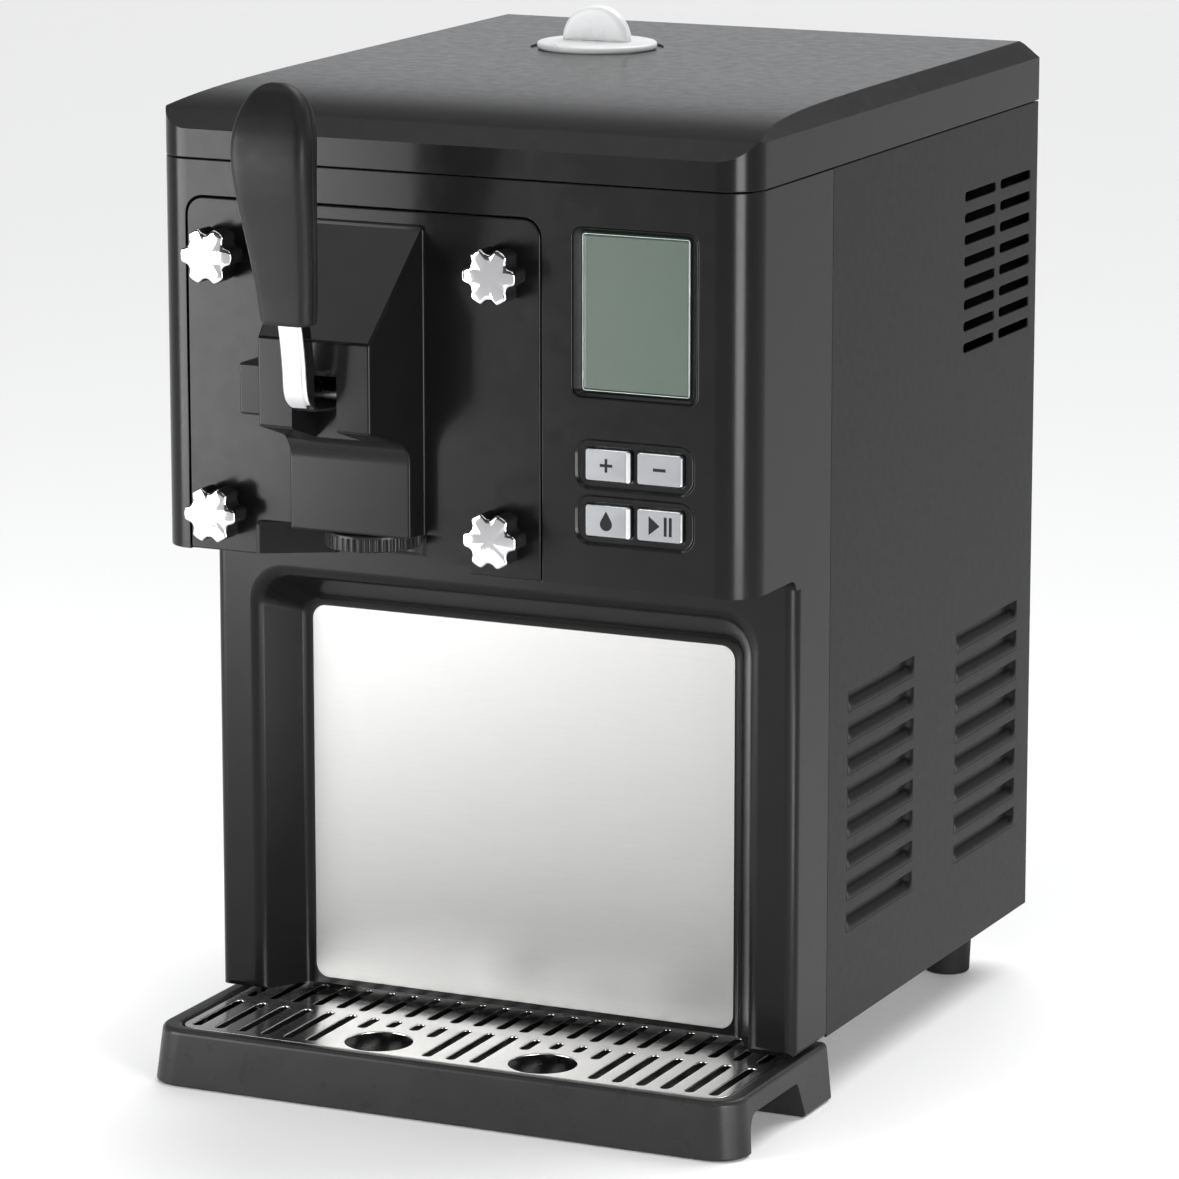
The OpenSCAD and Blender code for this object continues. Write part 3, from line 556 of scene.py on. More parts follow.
def make_camera():
    """The camera stands in front of the machine and to its right, and looks down at it."""
    data = bpy.data.cameras.new("camera")
    data.lens = 176.42
    data.sensor_width = 36
    data.clip_start = 0.05
    camera = bpy.data.objects.new("camera", data)
    camera.location = (1.10527, -2.36427, 0.77919)
    camera.rotation_euler = (math.radians(90 - 12.17), 0, math.radians(24.873))
    bpy.context.scene.collection.objects.link(camera)
    bpy.context.scene.camera = camera


def add_light(data, location, target):
    light = bpy.data.objects.new(data.name, data)
    light.location = location
    light.rotation_euler = (Vector(target) - Vector(location)).to_track_quat("-Z", "Y").to_euler()
    light.visible_camera = False
    bpy.context.scene.collection.objects.link(light)


def softbox(name, location, target, size, radiance):
    data = bpy.data.lights.new(name, "AREA")
    data.shape = "RECTANGLE"
    data.size, data.size_y = size
    data.energy = radiance * math.pi * size[0] * size[1]
    add_light(data, location, target)


def make_world():
    """A studio that is bright low down at the back, and darker in front and overhead."""
    world = bpy.data.worlds.new("studio")
    bpy.context.scene.world = world
    world.use_nodes = True
    nodes, links = world.node_tree.nodes, world.node_tree.links
    direction = nodes.new("ShaderNodeSeparateXYZ")
    links.new(nodes.new("ShaderNodeTexCoord").outputs["Generated"], direction.inputs[0])
    factors = []
    for axis, start, end, low, high in (("Y", -0.5, 0.45, 0.14, 0.8), ("Z", 0.15, 0.34, 1.0, 0.25)):
        ramp = nodes.new("ShaderNodeMapRange")
        ramp.interpolation_type = "SMOOTHSTEP"
        links.new(direction.outputs[axis], ramp.inputs["Value"])
        for socket, value in zip(("From Min", "From Max", "To Min", "To Max"), (start, end, low, high)):
            ramp.inputs[socket].default_value = value
        factors.append(ramp.outputs["Result"])
    product = nodes.new("ShaderNodeMath")
    product.operation = "MULTIPLY"
    links.new(factors[0], product.inputs[0])
    links.new(factors[1], product.inputs[1])
    links.new(product.outputs[0], nodes["Background"].inputs["Strength"])
    nodes["Background"].inputs["Color"].default_value = (0.97, 0.98, 1, 1)


def make_studio():
    make_world()
    sun = bpy.data.lights.new("top_light", "SUN")
    sun.energy = 2.9
    sun.angle = math.radians(50)
    add_light(sun, (0.2, 1.2, 2.0), (0, 0, 0.2))
    softbox("left_front", (-0.86, -0.9, 0.29), (-0.1, 0, 0.27), (0.75, 0.54), 15)
    softbox("right_strip", (1.02, -0.78, 0.28), (0, 0, 0.27), (0.5, 0.52), 18)
    softbox("overhead", (-0.75, -0.35, 1.95), (0, 0, 0.4), (0.9, 0.9), 2.2)
    softbox("floor_pool", (0.45, -0.75, 1.3), (0.4, -0.4, 0), (0.7, 0.5), 2)
    softbox("right_low", (0.5, -0.2, 0.06), (-0.1, -0.1, 0.1), (0.16, 0.1), 10)
    bpy.context.scene.view_settings.view_transform = "Standard"
    half = 14.0
    bm = bmesh.new()
    corners = [bm.verts.new((x * half, y * half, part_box("feet")[0].z))
               for x, y in ((-1, -1), (1, -1), (1, 1), (-1, 1))]
    bm.faces.new(corners)
    floor = to_object("floor", bm)
    made = Paint("floor_paper", (0.9, 0.9, 0.905), 0.8)
    made.mottle_roughness(made.noise(8, 3), 0.75, 0.85)
    floor.data.materials.append(made.material)


make_camera()
make_studio()


# ---- front moulding

BAY_W = 247
BAY_TOP = 199.5
SPLASH_W = 213
SPLASH_TOP = 181.3
BAY_BACK = 75.3
PORT_LOW = -12


def bay_ring(y, share):
    """The bay's outline at depth y: share is 0 at the mouth and 1 at the backsplash."""
    w = BAY_W + (SPLASH_W - BAY_W) * share
    top = BAY_TOP + (SPLASH_TOP - BAY_TOP) * share
    r = 16 - 9 * share
    corners = arc(w / 2 - r, top - r, r, 0, 90, 10) + arc(-w / 2 + r, top - r, r, 90, 180, 10)
    return lift(corners + [(-w / 2, PORT_LOW), (w / 2, PORT_LOW)], y, "y")


def bay_cutter():
    """The bay: a soft lip at its mouth, sloping walls and a rounded foot round the backsplash."""
    run = (BAY_W - SPLASH_W) / 2
    depth = BAY_BACK - COLUMN_Y
    path = round_path([(12, 0), (0, 0), (-run + 3, depth), (-run, depth)], [0, 7, 5, 0], 8)
    path = [p for p in path if p[0] < 11.9]
    rings = [bay_ring(COLUMN_Y - 3, -path[0][0] / run)]
    rings += [bay_ring(COLUMN_Y + d, -s / run) for s, d in path]
    return loft("bay", rings + [bay_ring(BAY_BACK + 0.5, 1)])


def under_cutter():
    """What stands free below the fascia, with a fillet where the columns meet it."""
    corners = [(-9, -9), (COLUMN_Y + 3, -9), (COLUMN_Y + 3, 0), (COLUMN_Y, 3),
               (COLUMN_Y, FASCIA_Z), (0, FASCIA_Z), (-1.4, FASCIA_Z + 1.4), (-9, FASCIA_Z + 1.4)]
    outline = round_path(corners, [0, 0, 0, 3, 6, 1.6, 0, 0], 6, closed=True)
    return loft("under", [lift(outline, x, "x") for x in (-HALF_W - 5, HALF_W + 5)])


def column_edge(side):
    """What rounds a column's vertical front edge."""
    r = COLUMN_R
    outline = [(HALF_W + 1, COLUMN_Y - 1), (HALF_W + 1, COLUMN_Y + r)]
    outline += arc(HALF_W - r, COLUMN_Y + r, r, 0, -90, 8) + [(HALF_W - r, COLUMN_Y - 1)]
    outline = [(side * x, y) for x, y in outline]
    return loft("edge", [lift(outline, z, "z") for z in (-5, FASCIA_Z - 5)])


def block(name, low, high):
    outline = [(low[0], low[1]), (high[0], low[1]), (high[0], high[1]), (low[0], high[1])]
    return loft(name, [lift(outline, z, "z") for z in (low[2], high[2])])


BUTTON_DX = 24.6
BUTTON_DZ = 24.7
BUTTON_Z = (middle("button_plus").z + middle("button_clean").z) / 2
BUTTON_SIZE = (21.6, 14.4)
WINDOW = (59.4, 74.3)
DOOR_W = DOOR_HIGH.x - DOOR_LOW.x
DOOR_GAP = 0.7


def front_shell():
    shell = stack("front_shell", plan(BODY_W, 0, FRONT_D, FASCIA_R, 16),
                  hem(0, SHELL_TOP, 2.5, 0.5), "z")
    inner_w = BODY_W - 2 * WALL
    header = BAY_TOP + WALL
    cutters = [under_cutter(), column_edge(1), column_edge(-1)]
    cutters.append(stack("hollow", plan(inner_w, WALL, FRONT_D + 1, FASCIA_R - WALL, 16),
                         [(FASCIA_Z + WALL, 0), (SHELL_TOP + 1, 0)], "z"))
    cutters.append(block("header", (-inner_w / 2, COLUMN_Y + WALL, header),
                         (inner_w / 2, FRONT_D + 1, FASCIA_Z + WALL + 1)))
    behind = BAY_BACK + 0.5 + WALL
    cutters.append(block("behind", (-inner_w / 2, behind, -1), (inner_w / 2, FRONT_D + 1.5, header + 1)))
    for side in (-1, 1):
        x0, x1 = sorted((side * (BAY_W / 2 + 8), side * inner_w / 2))
        cutters.append(block("column", (x0, COLUMN_Y + WALL, -2), (x1, FRONT_D + 2, header + 2)))
    cutters.append(bay_cutter())
    low = FASCIA_Z - 10
    top = DOOR_HIGH.z + DOOR_GAP
    side = DOOR_W / 2 + DOOR_GAP
    cutters.append(stack("pocket", rounded(2 * side, top - low, 8 + DOOR_GAP, AXIS_X, (low + top) / 2, 10),
                         mouth(0.4, WALL + 2), "y"))
    cutters.append(block("pocket_floor", (AXIS_X - side, -1.5, low - 1),
                         (AXIS_X + side, 40, FASCIA_Z + WALL + 1.5)))
    cutters.append(stack("window", rounded(*WINDOW, 4.5, PANEL_X, WINDOW_Z),
                         mouth(0.7, WALL + 2), "y"))
    for row in (-1, 1):
        z = BUTTON_Z + row * BUTTON_DZ / 2
        well = rounded(54.4, 20, 6, PANEL_X, z)
        levels = [(-1, -1.5), (0, -1.5), (0.25, -1.1), (1.1, -0.3), (1.3, 0.3)]
        cutters.append(stack("well", well, levels, "y"))
        for column in (-1, 1):
            hole = rounded(BUTTON_SIZE[0] + 1.4, BUTTON_SIZE[1] + 1.4, 2.2,
                           PANEL_X + column * BUTTON_DX / 2, z, 5)
            cutters.append(stack("hole", hole, [(-2, 0), (WALL + 2, 0)], "y"))
    boolean(shell, cutters)
    settle(shell, "front_shell", "housing", "housing_plastic", ["front_panel"])


# ---- cover

COVER_Z = place("top_cover")[0].z
COVER_TOP = place("top_cover")[1].z
CAP = middle("hopper_cap")


def top_cover():
    """The cover rises fast behind its front edge and is bevelled along both sides."""
    height = COVER_TOP - COVER_Z
    ridge = [(y, COVER_Z + height - 7.1 * math.exp((10 - y) / 30))
             for y in (10, 13, 17, 22, 28, 35, 44, 55, 68, 84, 105, 130, 160)]
    side = [(-1, COVER_Z), (-1, COVER_Z + 12.8), (0, COVER_Z + 12.9), *ridge]
    side += [(BODY_D - 1.5, COVER_TOP), (BODY_D, COVER_TOP - 1.5), (BODY_D, COVER_Z)]
    profile = loft("profile", [lift(side, x, "x") for x in (-HALF_W - 2, HALF_W + 2)])
    gable = [(-HALF_W - 1, COVER_Z - 1), (HALF_W + 1, COVER_Z - 1), (HALF_W + 1, COVER_Z + 19.6),
             (HALF_W - 9.6, COVER_TOP), (-HALF_W + 9.6, COVER_TOP), (-HALF_W - 1, COVER_Z + 19.6)]
    roof = loft("roof", [lift(gable, y, "y") for y in (-2, BODY_D + 1)])
    cover = stack("cover", plan(BODY_W, 0, BODY_D, FASCIA_R, 16),
                  hem(COVER_Z, COVER_TOP + 5, 0.5, 0), "z")
    boolean(cover, [profile, roof], "INTERSECT")
    inner = [(WALL, -1), (WALL, 9), (14, 15.5), (34, 20.5), (BODY_D - WALL, height - WALL),
             (BODY_D - WALL, -1)]
    hollow = loft("hollow", [lift([(y, COVER_Z + z) for y, z in inner], x, "x")
                             for x in (-HALF_W + 12, HALF_W - 12)])
    cutters = [hollow, lathe("filler", [(25.1, 0), (25.1, 50)], (CAP.x, CAP.y, COVER_Z)),
               lathe("seat", [(31.5, 0), (31.9, 2)], (CAP.x, CAP.y, COVER_TOP - 0.8))]
    boolean(cover, cutters)
    settle(cover, "lid", "housing", "housing_plastic", ["top_cover"], 24)


def filler_cap():
    """A flanged plug with a half-round finger grip across it."""
    z = COVER_TOP
    flange = round_path([(0.01, -0.4), (28.4, -0.4), (28.5, 2.6), (24, 3.1), (0.01, 3.4)],
                        [0, 1.2, 1.4, 3, 0], 5)
    dish = lathe("dish", flange, (CAP.x, CAP.y, z), 96)
    cup = round_path([(22.1, -0.4), (24.3, -0.4), (24.3, -8.4), (22.1, -8.4), (22.1, -1.5)],
                     [0, 0, 0.8, 0.4, 0], 4)
    rings = [[tuple(Vector(p) + Vector((CAP.x, CAP.y, z))) for p in lift(circle(r, 96), t, "z")]
             for r, t in cup]
    plug = loft("plug", rings, "loop")
    half = [(CAP.x + u, z + 3 + v) for u, v in arc(0, 0, 17, 0, 180, 40)]
    half += [(CAP.x - 17, z + 0.4), (CAP.x + 17, z + 0.4)]
    fin = stack("fin", half, hem(CAP.y - 4, CAP.y + 4, 2.6, 2.6, 6), "y")
    cap = merge("filler_cap", [dish, plug, fin])
    settle(cap, "filler_cap", "cap", "cap_plastic", ["hopper_cap"], 60)


# ---- door


def valve_block():
    """The valve block and the shroud under it: one tapered shape with a hollow curve between."""
    side = [(3, 372), (-1, 372), (-46, 327.5), (-46, 288)] + arc(-25, 268.6, 12, 72, 0, 12)
    side += [(-13, 236), (3, 236)]
    profile = loft("profile", [lift(side, x, "x") for x in (AXIS_X - 60, AXIS_X + 60)])
    taper = [(-30.4, 4), (-30.4, -3), (-27.5, -46), (27, -46), (30.4, -3), (30.4, 4)]
    block = loft("block", [lift([(AXIS_X + x, y) for x, y in taper], z, "z") for z in (230, 380)])
    boolean(block, [profile], "INTERSECT")
    return bevel(block, 1.1, 4, 25)


def alcove_plan(grow):
    """The alcove under the shroud, from above. It deepens from its left end."""
    return [(-96 - grow, -8), (-96 - grow, 0), (-66, 16.5 + grow), (12 + grow, 16.5 + grow),
            (12 + grow, -8)]


def front_door():
    low = DOOR_LOW.z
    outline = arc(DOOR_HIGH.x - 8, DOOR_HIGH.z - 8, 8, 0, 90, 10)
    outline += arc(DOOR_LOW.x + 8, DOOR_HIGH.z - 8, 8, 90, 180, 10)
    outline += arc(DOOR_LOW.x + 1, low + 1, 1, 180, 270, 4) + arc(DOOR_HIGH.x - 1, low + 1, 1, 270, 360, 4)
    plate = stack("plate", outline, hem(0, 6, 0.7, 0), "y")
    foot = stack("foot", rounded(62.6, 141, 2.4, AXIS_X - 0.2, 303.2, 6), hem(-1.3, 3, 0.9, 0), "y")
    lever_well = [block("slot", (AXIS_X - 10.95, -48, 275), (AXIS_X + 10.95, -23, 312.5)),
                  block("well", (AXIS_X - 10.9, -41, 275), (AXIS_X + 10.9, -23.5, 322)),
                  block("finger", (AXIS_X - 6, -24, 297), (AXIS_X + 6, 12, 326))]
    ear = stack("ear", rounded(14, 23, 1.4, AXIS_X - 32.5, 303), hem(-41, -20, 1.2, 0), "y")
    disc = lathe("disc", [(46, 4), (46, 36)], (AXIS_X, 0, AXIS_Z), 96, "y")
    shelf = loft("shelf", [lift(alcove_plan(3), z, "z") for z in (low, 239)])
    boolean(shelf, [block("front", (-110, -20, low - 5), (30, 3, 245))])
    pocket_wall = lathe("pocket_wall", [(27, low), (27, 239)], (AXIS_X, OUTLET.y, 0), 72)
    boolean(pocket_wall, [block("front", (-110, -30, low - 5), (30, 5, 245))])
    boolean(plate, [foot, valve_block(), ear, disc, shelf, pocket_wall], "UNION")
    niche = bevel(loft("niche", [lift(alcove_plan(0), z, "z") for z in (low - 20, 236)]), 3, 6, 60)
    studs = [lathe("stud", [(3.6, -1), (3.6, 8)], (x, 0, z), 24, "y") for x, z in knob_places()]
    ring_pocket = lathe("ring_pocket", [(24, low - 5), (24, 235.9)], (AXIS_X, OUTLET.y, 0), 72)
    chamber = lathe("chamber", [(34, 24), (34, 37)], (AXIS_X, 0, AXIS_Z), 96, "y")
    boolean(plate, [niche, ring_pocket, *lever_well, *studs, chamber])
    spout = lathe("spout", [(14, 229.5), (14, 240)], (AXIS_X, OUTLET.y, 0), 64)
    boolean(plate, [spout], "UNION")
    boolean(plate, [lathe("bore", [(11, 222), (11, 338)], (AXIS_X, OUTLET.y, 0), 48)])
    settle(plate, "freezer_door", "door", "door_plastic", ["front_door"], 32)


KNOBS = ["knob_top_left", "knob_top_right", "knob_bottom_left", "knob_bottom_right"]
KNOB_R = 12.75


def knob_places():
    return [((place(n)[0].x + place(n)[1].x) / 2, (place(n)[0].z + place(n)[1].z) / 2)
            for n in KNOBS]


def star_outline(r, notch, cx, cz, steps=24):
    """Six lobes with a round notch between each two; the lobes' corners are softened."""
    points = []
    for i in range(6 * steps):
        a = 2 * math.pi * i / (6 * steps)
        across = abs(a % (math.pi / 3) - math.pi / 6)
        reach = r
        centre = r + 0.4
        gap = centre * math.sin(across)
        if gap < notch:
            reach = min(r, centre * math.cos(across) - math.sqrt(notch**2 - gap**2))
        points.append(Vector((reach * math.cos(a), reach * math.sin(a))))
    for _ in range(3):
        count = len(points)
        points = [(points[i - 1] + 2 * points[i] + points[(i + 1) % count]) / 4 for i in range(count)]
    return [(cx + p.x, cz + p.y) for p in points]


def scaled(outline, cx, cy, share):
    return [(cx + (u - cx) * share, cy + (v - cy) * share) for u, v in outline]


def star_knobs():
    """Black lobed bodies with slightly domed chrome faces."""
    for name, (x, z) in zip(KNOBS, knob_places()):
        front = place("knob_cap_" + name[5:])[0].y
        star = star_outline(KNOB_R, 3.3, x, z)
        body = stack("star", star, [(front + 1.9, 0.3), (front + 2.1, 0.1), (-4.4, 0.1), (-3.6, 0.3),
                                    (-3.1, 0.9)], "y")
        hub = lathe("hub", [(7.2, -3.6), (7.0, -0.5)], (x, 0, z), 48, "y")
        knob = boolean(body, [hub], "UNION")
        boolean(knob, [lathe("bore", [(3.05, -13), (3.05, 0)], (x, 0, z), 24, "y")])
        settle(knob, name + "_body", name, "knob_plastic", [name], 40)
        rings = [lift(scaled(star, x, z, k), front + 0.9 * k**2.6 * 0.4, "y")
                 for k in (0.02, 0.15, 0.3, 0.45, 0.6, 0.74, 0.86)]
        rings += [lift(inset(star, d), t, "y") for t, d in (
            (front + 0.36, 0.75), (front + 0.55, 0.35), (front + 0.85, 0.08), (front + 1.2, 0),
            (front + 2.2, 0.0), (front + 2.35, 0.25))]
        settle(loft("cap", rings), name + "_face", name, "knob_chrome", ["knob_cap_" + name[5:]], 80)


# ---- lever


def lever_neck():
    """The chrome lever: a hub on its pin, a finger behind it and a wider neck that curves up."""
    y, z = PIVOT.y, PIVOT.z
    neck = [(y + 1, z - 7.4), (y - 7, z - 6.9), (-49, 297.3), (-55.5, 298.3), (-61.3, 301.6),
            (-64.4, 306.5), (-65.4, 313), (-66.2, 321), (-68.3, 333), (-72.2, 350), (-64.6, 352),
            (-59.7, 340), (-57, 331), (-54.8, 321), (-52, 314), (-46, 310.6), (y - 5, z + 7.6),
            (y + 1, z + 7.4), (y + 7, z + 5.4), (y + 22, z + 4.4), (9, z + 3.9), (12.9, z + 2.4),
            (13.9, z), (12.9, z - 2.4), (9, z - 3.9), (y + 22, z - 4.6), (y + 7, z - 5.8)]
    lever = stack("lever", smooth_through(neck, 4), hem(AXIS_X - 5, AXIS_X + 5, 2, 2, 6), "x")
    for vertex in lever.data.vertices:
        share = min(1, max(0, (y - 4 - vertex.co.y) / 14))
        vertex.co.x = AXIS_X + (vertex.co.x - AXIS_X) * (1 + 0.16 * share)
    boolean(lever, [lathe("bore", [(2.55, AXIS_X - 6), (2.55, AXIS_X + 6)], (0, y, z), 32, "x")])
    settle(lever, "draw_lever", "lever", "lever_chrome", ["lever_arm"], 50)


GRIP_WIDTH = [(338, 24.0), (350, 25.9), (362, 28.1), (374, 30.5), (386, 33.0), (396, 34.9),
              (405, 36.3), (412, 36.9), (419, 36.6), (425, 35.2), (430, 32.8), (434.5, 29.2),
              (438, 24.6), (440.6, 19.4), (442.4, 13.2), (443.4, 6.0)]
GRIP_FRONT = [(338, -75.2), (350, -76.6), (366, -79.5), (382, -83.2), (396, -86.8), (406, -88.6),
              (414, -88.9), (422, -88.1), (430, -85.8), (436, -83.2), (440, -80.9), (443.4, -77.6)]
GRIP_BACK = [(338, -63.6), (350, -64.4), (366, -67.2), (382, -70.2), (396, -72.9), (406, -74.2),
             (414, -74.2), (422, -73.4), (430, -72.6), (436, -72.4), (440, -73.0), (443.4, -75.2)]


def grip_ring(z, shrink=0.0):
    """One level of the grip: a round front, flat sides with a parting line, a flatter back."""
    w = blend_keys(GRIP_WIDTH, z) / 2 - shrink
    front = blend_keys(GRIP_FRONT, z) + shrink
    back = blend_keys(GRIP_BACK, z) - shrink
    deep = back - front
    r = min(4.6, w * 0.75, deep * 0.42)
    edge = min(2.2, w * 0.4, deep * 0.25)
    seam = front + deep * 0.62
    half = [(w * k / 4, front + 0.35 * (k / 4) ** 2 * min(1, w / 8)) for k in range(4)]
    half += [(w - r + px, front + 0.35 + r + py)
             for px, py in arc(0, 0, r, -80, 0, 7)]
    half += [(w, seam - 0.5), (w - 0.35, seam - 0.1), (w - 0.35, seam + 0.1), (w, seam + 0.5)]
    half += [(w - edge + px, back - edge + py) for px, py in arc(0, 0, edge, 0, 90, 4)]
    half += [(w * k / 4, back) for k in (2, 1)]
    ring = half + [(-x, y) for x, y in half[::-1] if x > 1e-6]
    ring = ring[:len(half)] + [(0, back)] + ring[len(half):]
    return [(AXIS_X + x, y, z) for x, y in ring]


def lever_grip():
    levels = [(338.0, 1.3), (338.4, 0.6), (339.2, 0.15), (340, 0)]
    levels += [(340 + 3.5 * i, 0) for i in range(1, 23)]
    levels += [(z, 0) for z in (420, 423, 426, 428.5, 431, 433, 435, 437, 438.6, 440, 441.2, 442.2,
                                442.9, 443.35)]
    grip = loft("grip", [grip_ring(z, s) for z, s in levels])
    smooth = grip.modifiers.new("smooth", "SUBSURF")
    smooth.levels = smooth.render_levels = 1
    bake(grip)
    settle(grip, "grip", "lever", "grip_plastic", ["lever_grip"], 50)


def knurled_ring():
    """The ring under the spout: ribs all round, and a plain rim on top."""
    low, high = place("nozzle_ring")
    r = (high.x - low.x) / 2
    steps = 8
    wave = (0.0, 0.0, 0.1, 0.8, 1.0, 1.0, 0.8, 0.1)

    def ring(z, shrink, ribbed):
        points = []
        for i in range(40 * steps):
            turn = 2 * math.pi * i / (40 * steps)
            reach = r - shrink - (wave[i % steps] if ribbed else 0)
            points.append((OUTLET.x + reach * math.cos(turn), OUTLET.y + reach * math.sin(turn), z))
        return points

    rings = [ring(low.z, 1.2, True), ring(low.z + 0.3, 0.4, True), ring(low.z + 0.9, 0, True),
             ring(high.z - 1.7, 0, True), ring(high.z - 1.4, 0.1, False),
             ring(high.z - 0.5, 0.1, False), ring(high.z, 0.6, False)]
    collar = loft("collar", rings)
    centre = (OUTLET.x, OUTLET.y, 0)
    boolean(collar, [lathe("socket", [(14.05, low.z + 1), (14.05, high.z + 1)], centre, 64),
                     lathe("outlet", [(10, low.z - 1), (10, low.z + 2)], centre, 64)])
    settle(collar, "knurled_ring", "nozzle", "knob_plastic", ["nozzle_ring"], 30)


# ---- display and buttons


def framed(name, outer, inner, rows):
    """A frame between two outlines: rows are (y, share from outer to inner)."""
    rings = []
    for y, share in rows:
        rings.append([(a[0] + (b[0] - a[0]) * share, y, a[1] + (b[1] - a[1]) * share)
                      for a, b in zip(outer, inner)])
    return loft(name, rings, "loop")


def display_parts():
    outer = rounded(59, 73.9, 4.3, PANEL_X, WINDOW_Z)
    window = rounded(52, 70, 1.6, PANEL_X, WINDOW_Z)
    bezel = framed("bezel", outer, window, [(2.9, 0), (0.7, 0), (0.45, 0.04), (0.5, 0.12),
                                            (2.2, 0.86), (2.5, 1.0), (2.9, 1.0)])
    settle(bezel, "bezel", "housing", "housing_plastic", ["display_bezel"], 30)
    edge = rounded(51.0, 69.0, 1.4, PANEL_X, WINDOW_Z)
    pane_edge = inset(edge, 0.5)
    # The rim round the pane wears the painted highlight finish: a bright ring standing in for the light
    # caught along the clear window's edge.
    rim = framed("rim", edge, pane_edge, [(3.0, 0), (1.75, 0), (1.55, 0.3), (1.55, 0.8),
                                          (1.8, 1.0), (3.0, 1.0)])
    settle(rim, "window_rim", "housing", "display_glass", (), 30, PAINTED_HIGHLIGHT)
    glass = stack("pane", pane_edge, hem(1.7, 4.6, 0.9, 0), "y")
    settle(glass, "window_pane", "housing", "display_glass", ["display_glass"], 30)


def icon_shapes(kind):
    """Outlines of a button's sign about its middle, in millimetres."""
    if kind == "minus":
        return [[(-3, -0.7), (3, -0.7), (3, 0.7), (-3, 0.7)]]
    if kind == "plus":
        a, b = 0.65, 3
        arm = [(b, -a), (b, a), (a, a)]
        return [arm + [(-y, x) for x, y in arm] + [(-x, -y) for x, y in arm] + [(y, -x) for x, y in arm]]
    if kind == "play":
        shapes = [[(-5, -4.2), (0.3, 0), (-5, 4.2)]]
        return shapes + [[(x, -4.2), (x + 1.4, -4.2), (x + 1.4, 4.2), (x, 4.2)] for x in (2.2, 4.6)]
    return [arc(0, -1.3, 2.9, 155, 385, 20) + [(0, 4.6)]]


BUTTONS = {"plus": (-1, 1), "minus": (1, 1), "clean": (-1, -1), "play": (1, -1)}


def push_buttons():
    for kind, (column, row) in BUTTONS.items():
        node = "button_" + kind
        x = PANEL_X + column * BUTTON_DX / 2
        z = BUTTON_Z + row * BUTTON_DZ / 2
        front = place(node)[0].y
        w, h = BUTTON_SIZE
        edge = rounded(w, h, 1.5, x, z, 5)
        wide = 1.9 if column < 0 else 0.5
        crown = [(min(u, x + w / 2 - wide), v) for u, v in inset(edge, 0.5)]
        rings = [lift(crown, front, "y"), lift(inset(edge, 0.12), front + 0.45, "y"),
                 lift(edge, front + 0.8, "y"), lift(edge, front + 5, "y")]
        cap = loft("cap", rings)
        flange = stack("flange", rounded(w + 2.2, h + 2.2, 2, x, z, 5), [(4.1, 0), (5.4, 0)], "y")
        stem = lathe("stem", [(3, 5.2), (3, 16.9)], (x, 0, z), 32, "y")
        button = merge("button", [cap, flange, stem])
        button.data.materials.append(FINISH["button_silver"])
        button.data.materials.append(PAINTED_HIGHLIGHT)
        # The chamfer faces round each button's top get the painted highlight finish, a brighter copy of
        # the silver standing in for the light they catch.
        for polygon in button.data.polygons:
            rim = any(abs(button.data.vertices[v].co.y - front) > 0.05 for v in polygon.vertices)
            polygon.material_index = 1 if rim and polygon.center.y < front + 0.9 else 0
        settle(button, node + "_cap", node, "button_silver", [node], 25)
        for i, shape in enumerate(icon_shapes(kind)):
            outline = [(x - (0.7 if column < 0 else 0) + u, z + v) for u, v in shape]
            ink = stack("ink", outline, [(front - 0.03, 0), (front + 0.2, 0)], "y")
            settle(ink, f"{node}_sign_{i}", node, "button_silver", finish=PRINT_INK)


# ---- backsplash, tray and grille


def backsplash():
    low, high = place("backsplash")
    outline = rounded(high.x - low.x, high.z - low.z, 6.8, 0, (low.z + high.z) / 2, 10)
    sheet = stack("sheet", outline, hem(low.y, high.y, 0.3, 0, 3), "y")
    settle(sheet, "splash_sheet", "housing", "backsplash_steel", ["backsplash"], 30)


TRAY_LOW, TRAY_HIGH = place("drip_tray")
TRAY_FRONT = -14
TRAY_BACK = TRAY_HIGH.y
BASIN_Z = -9.5


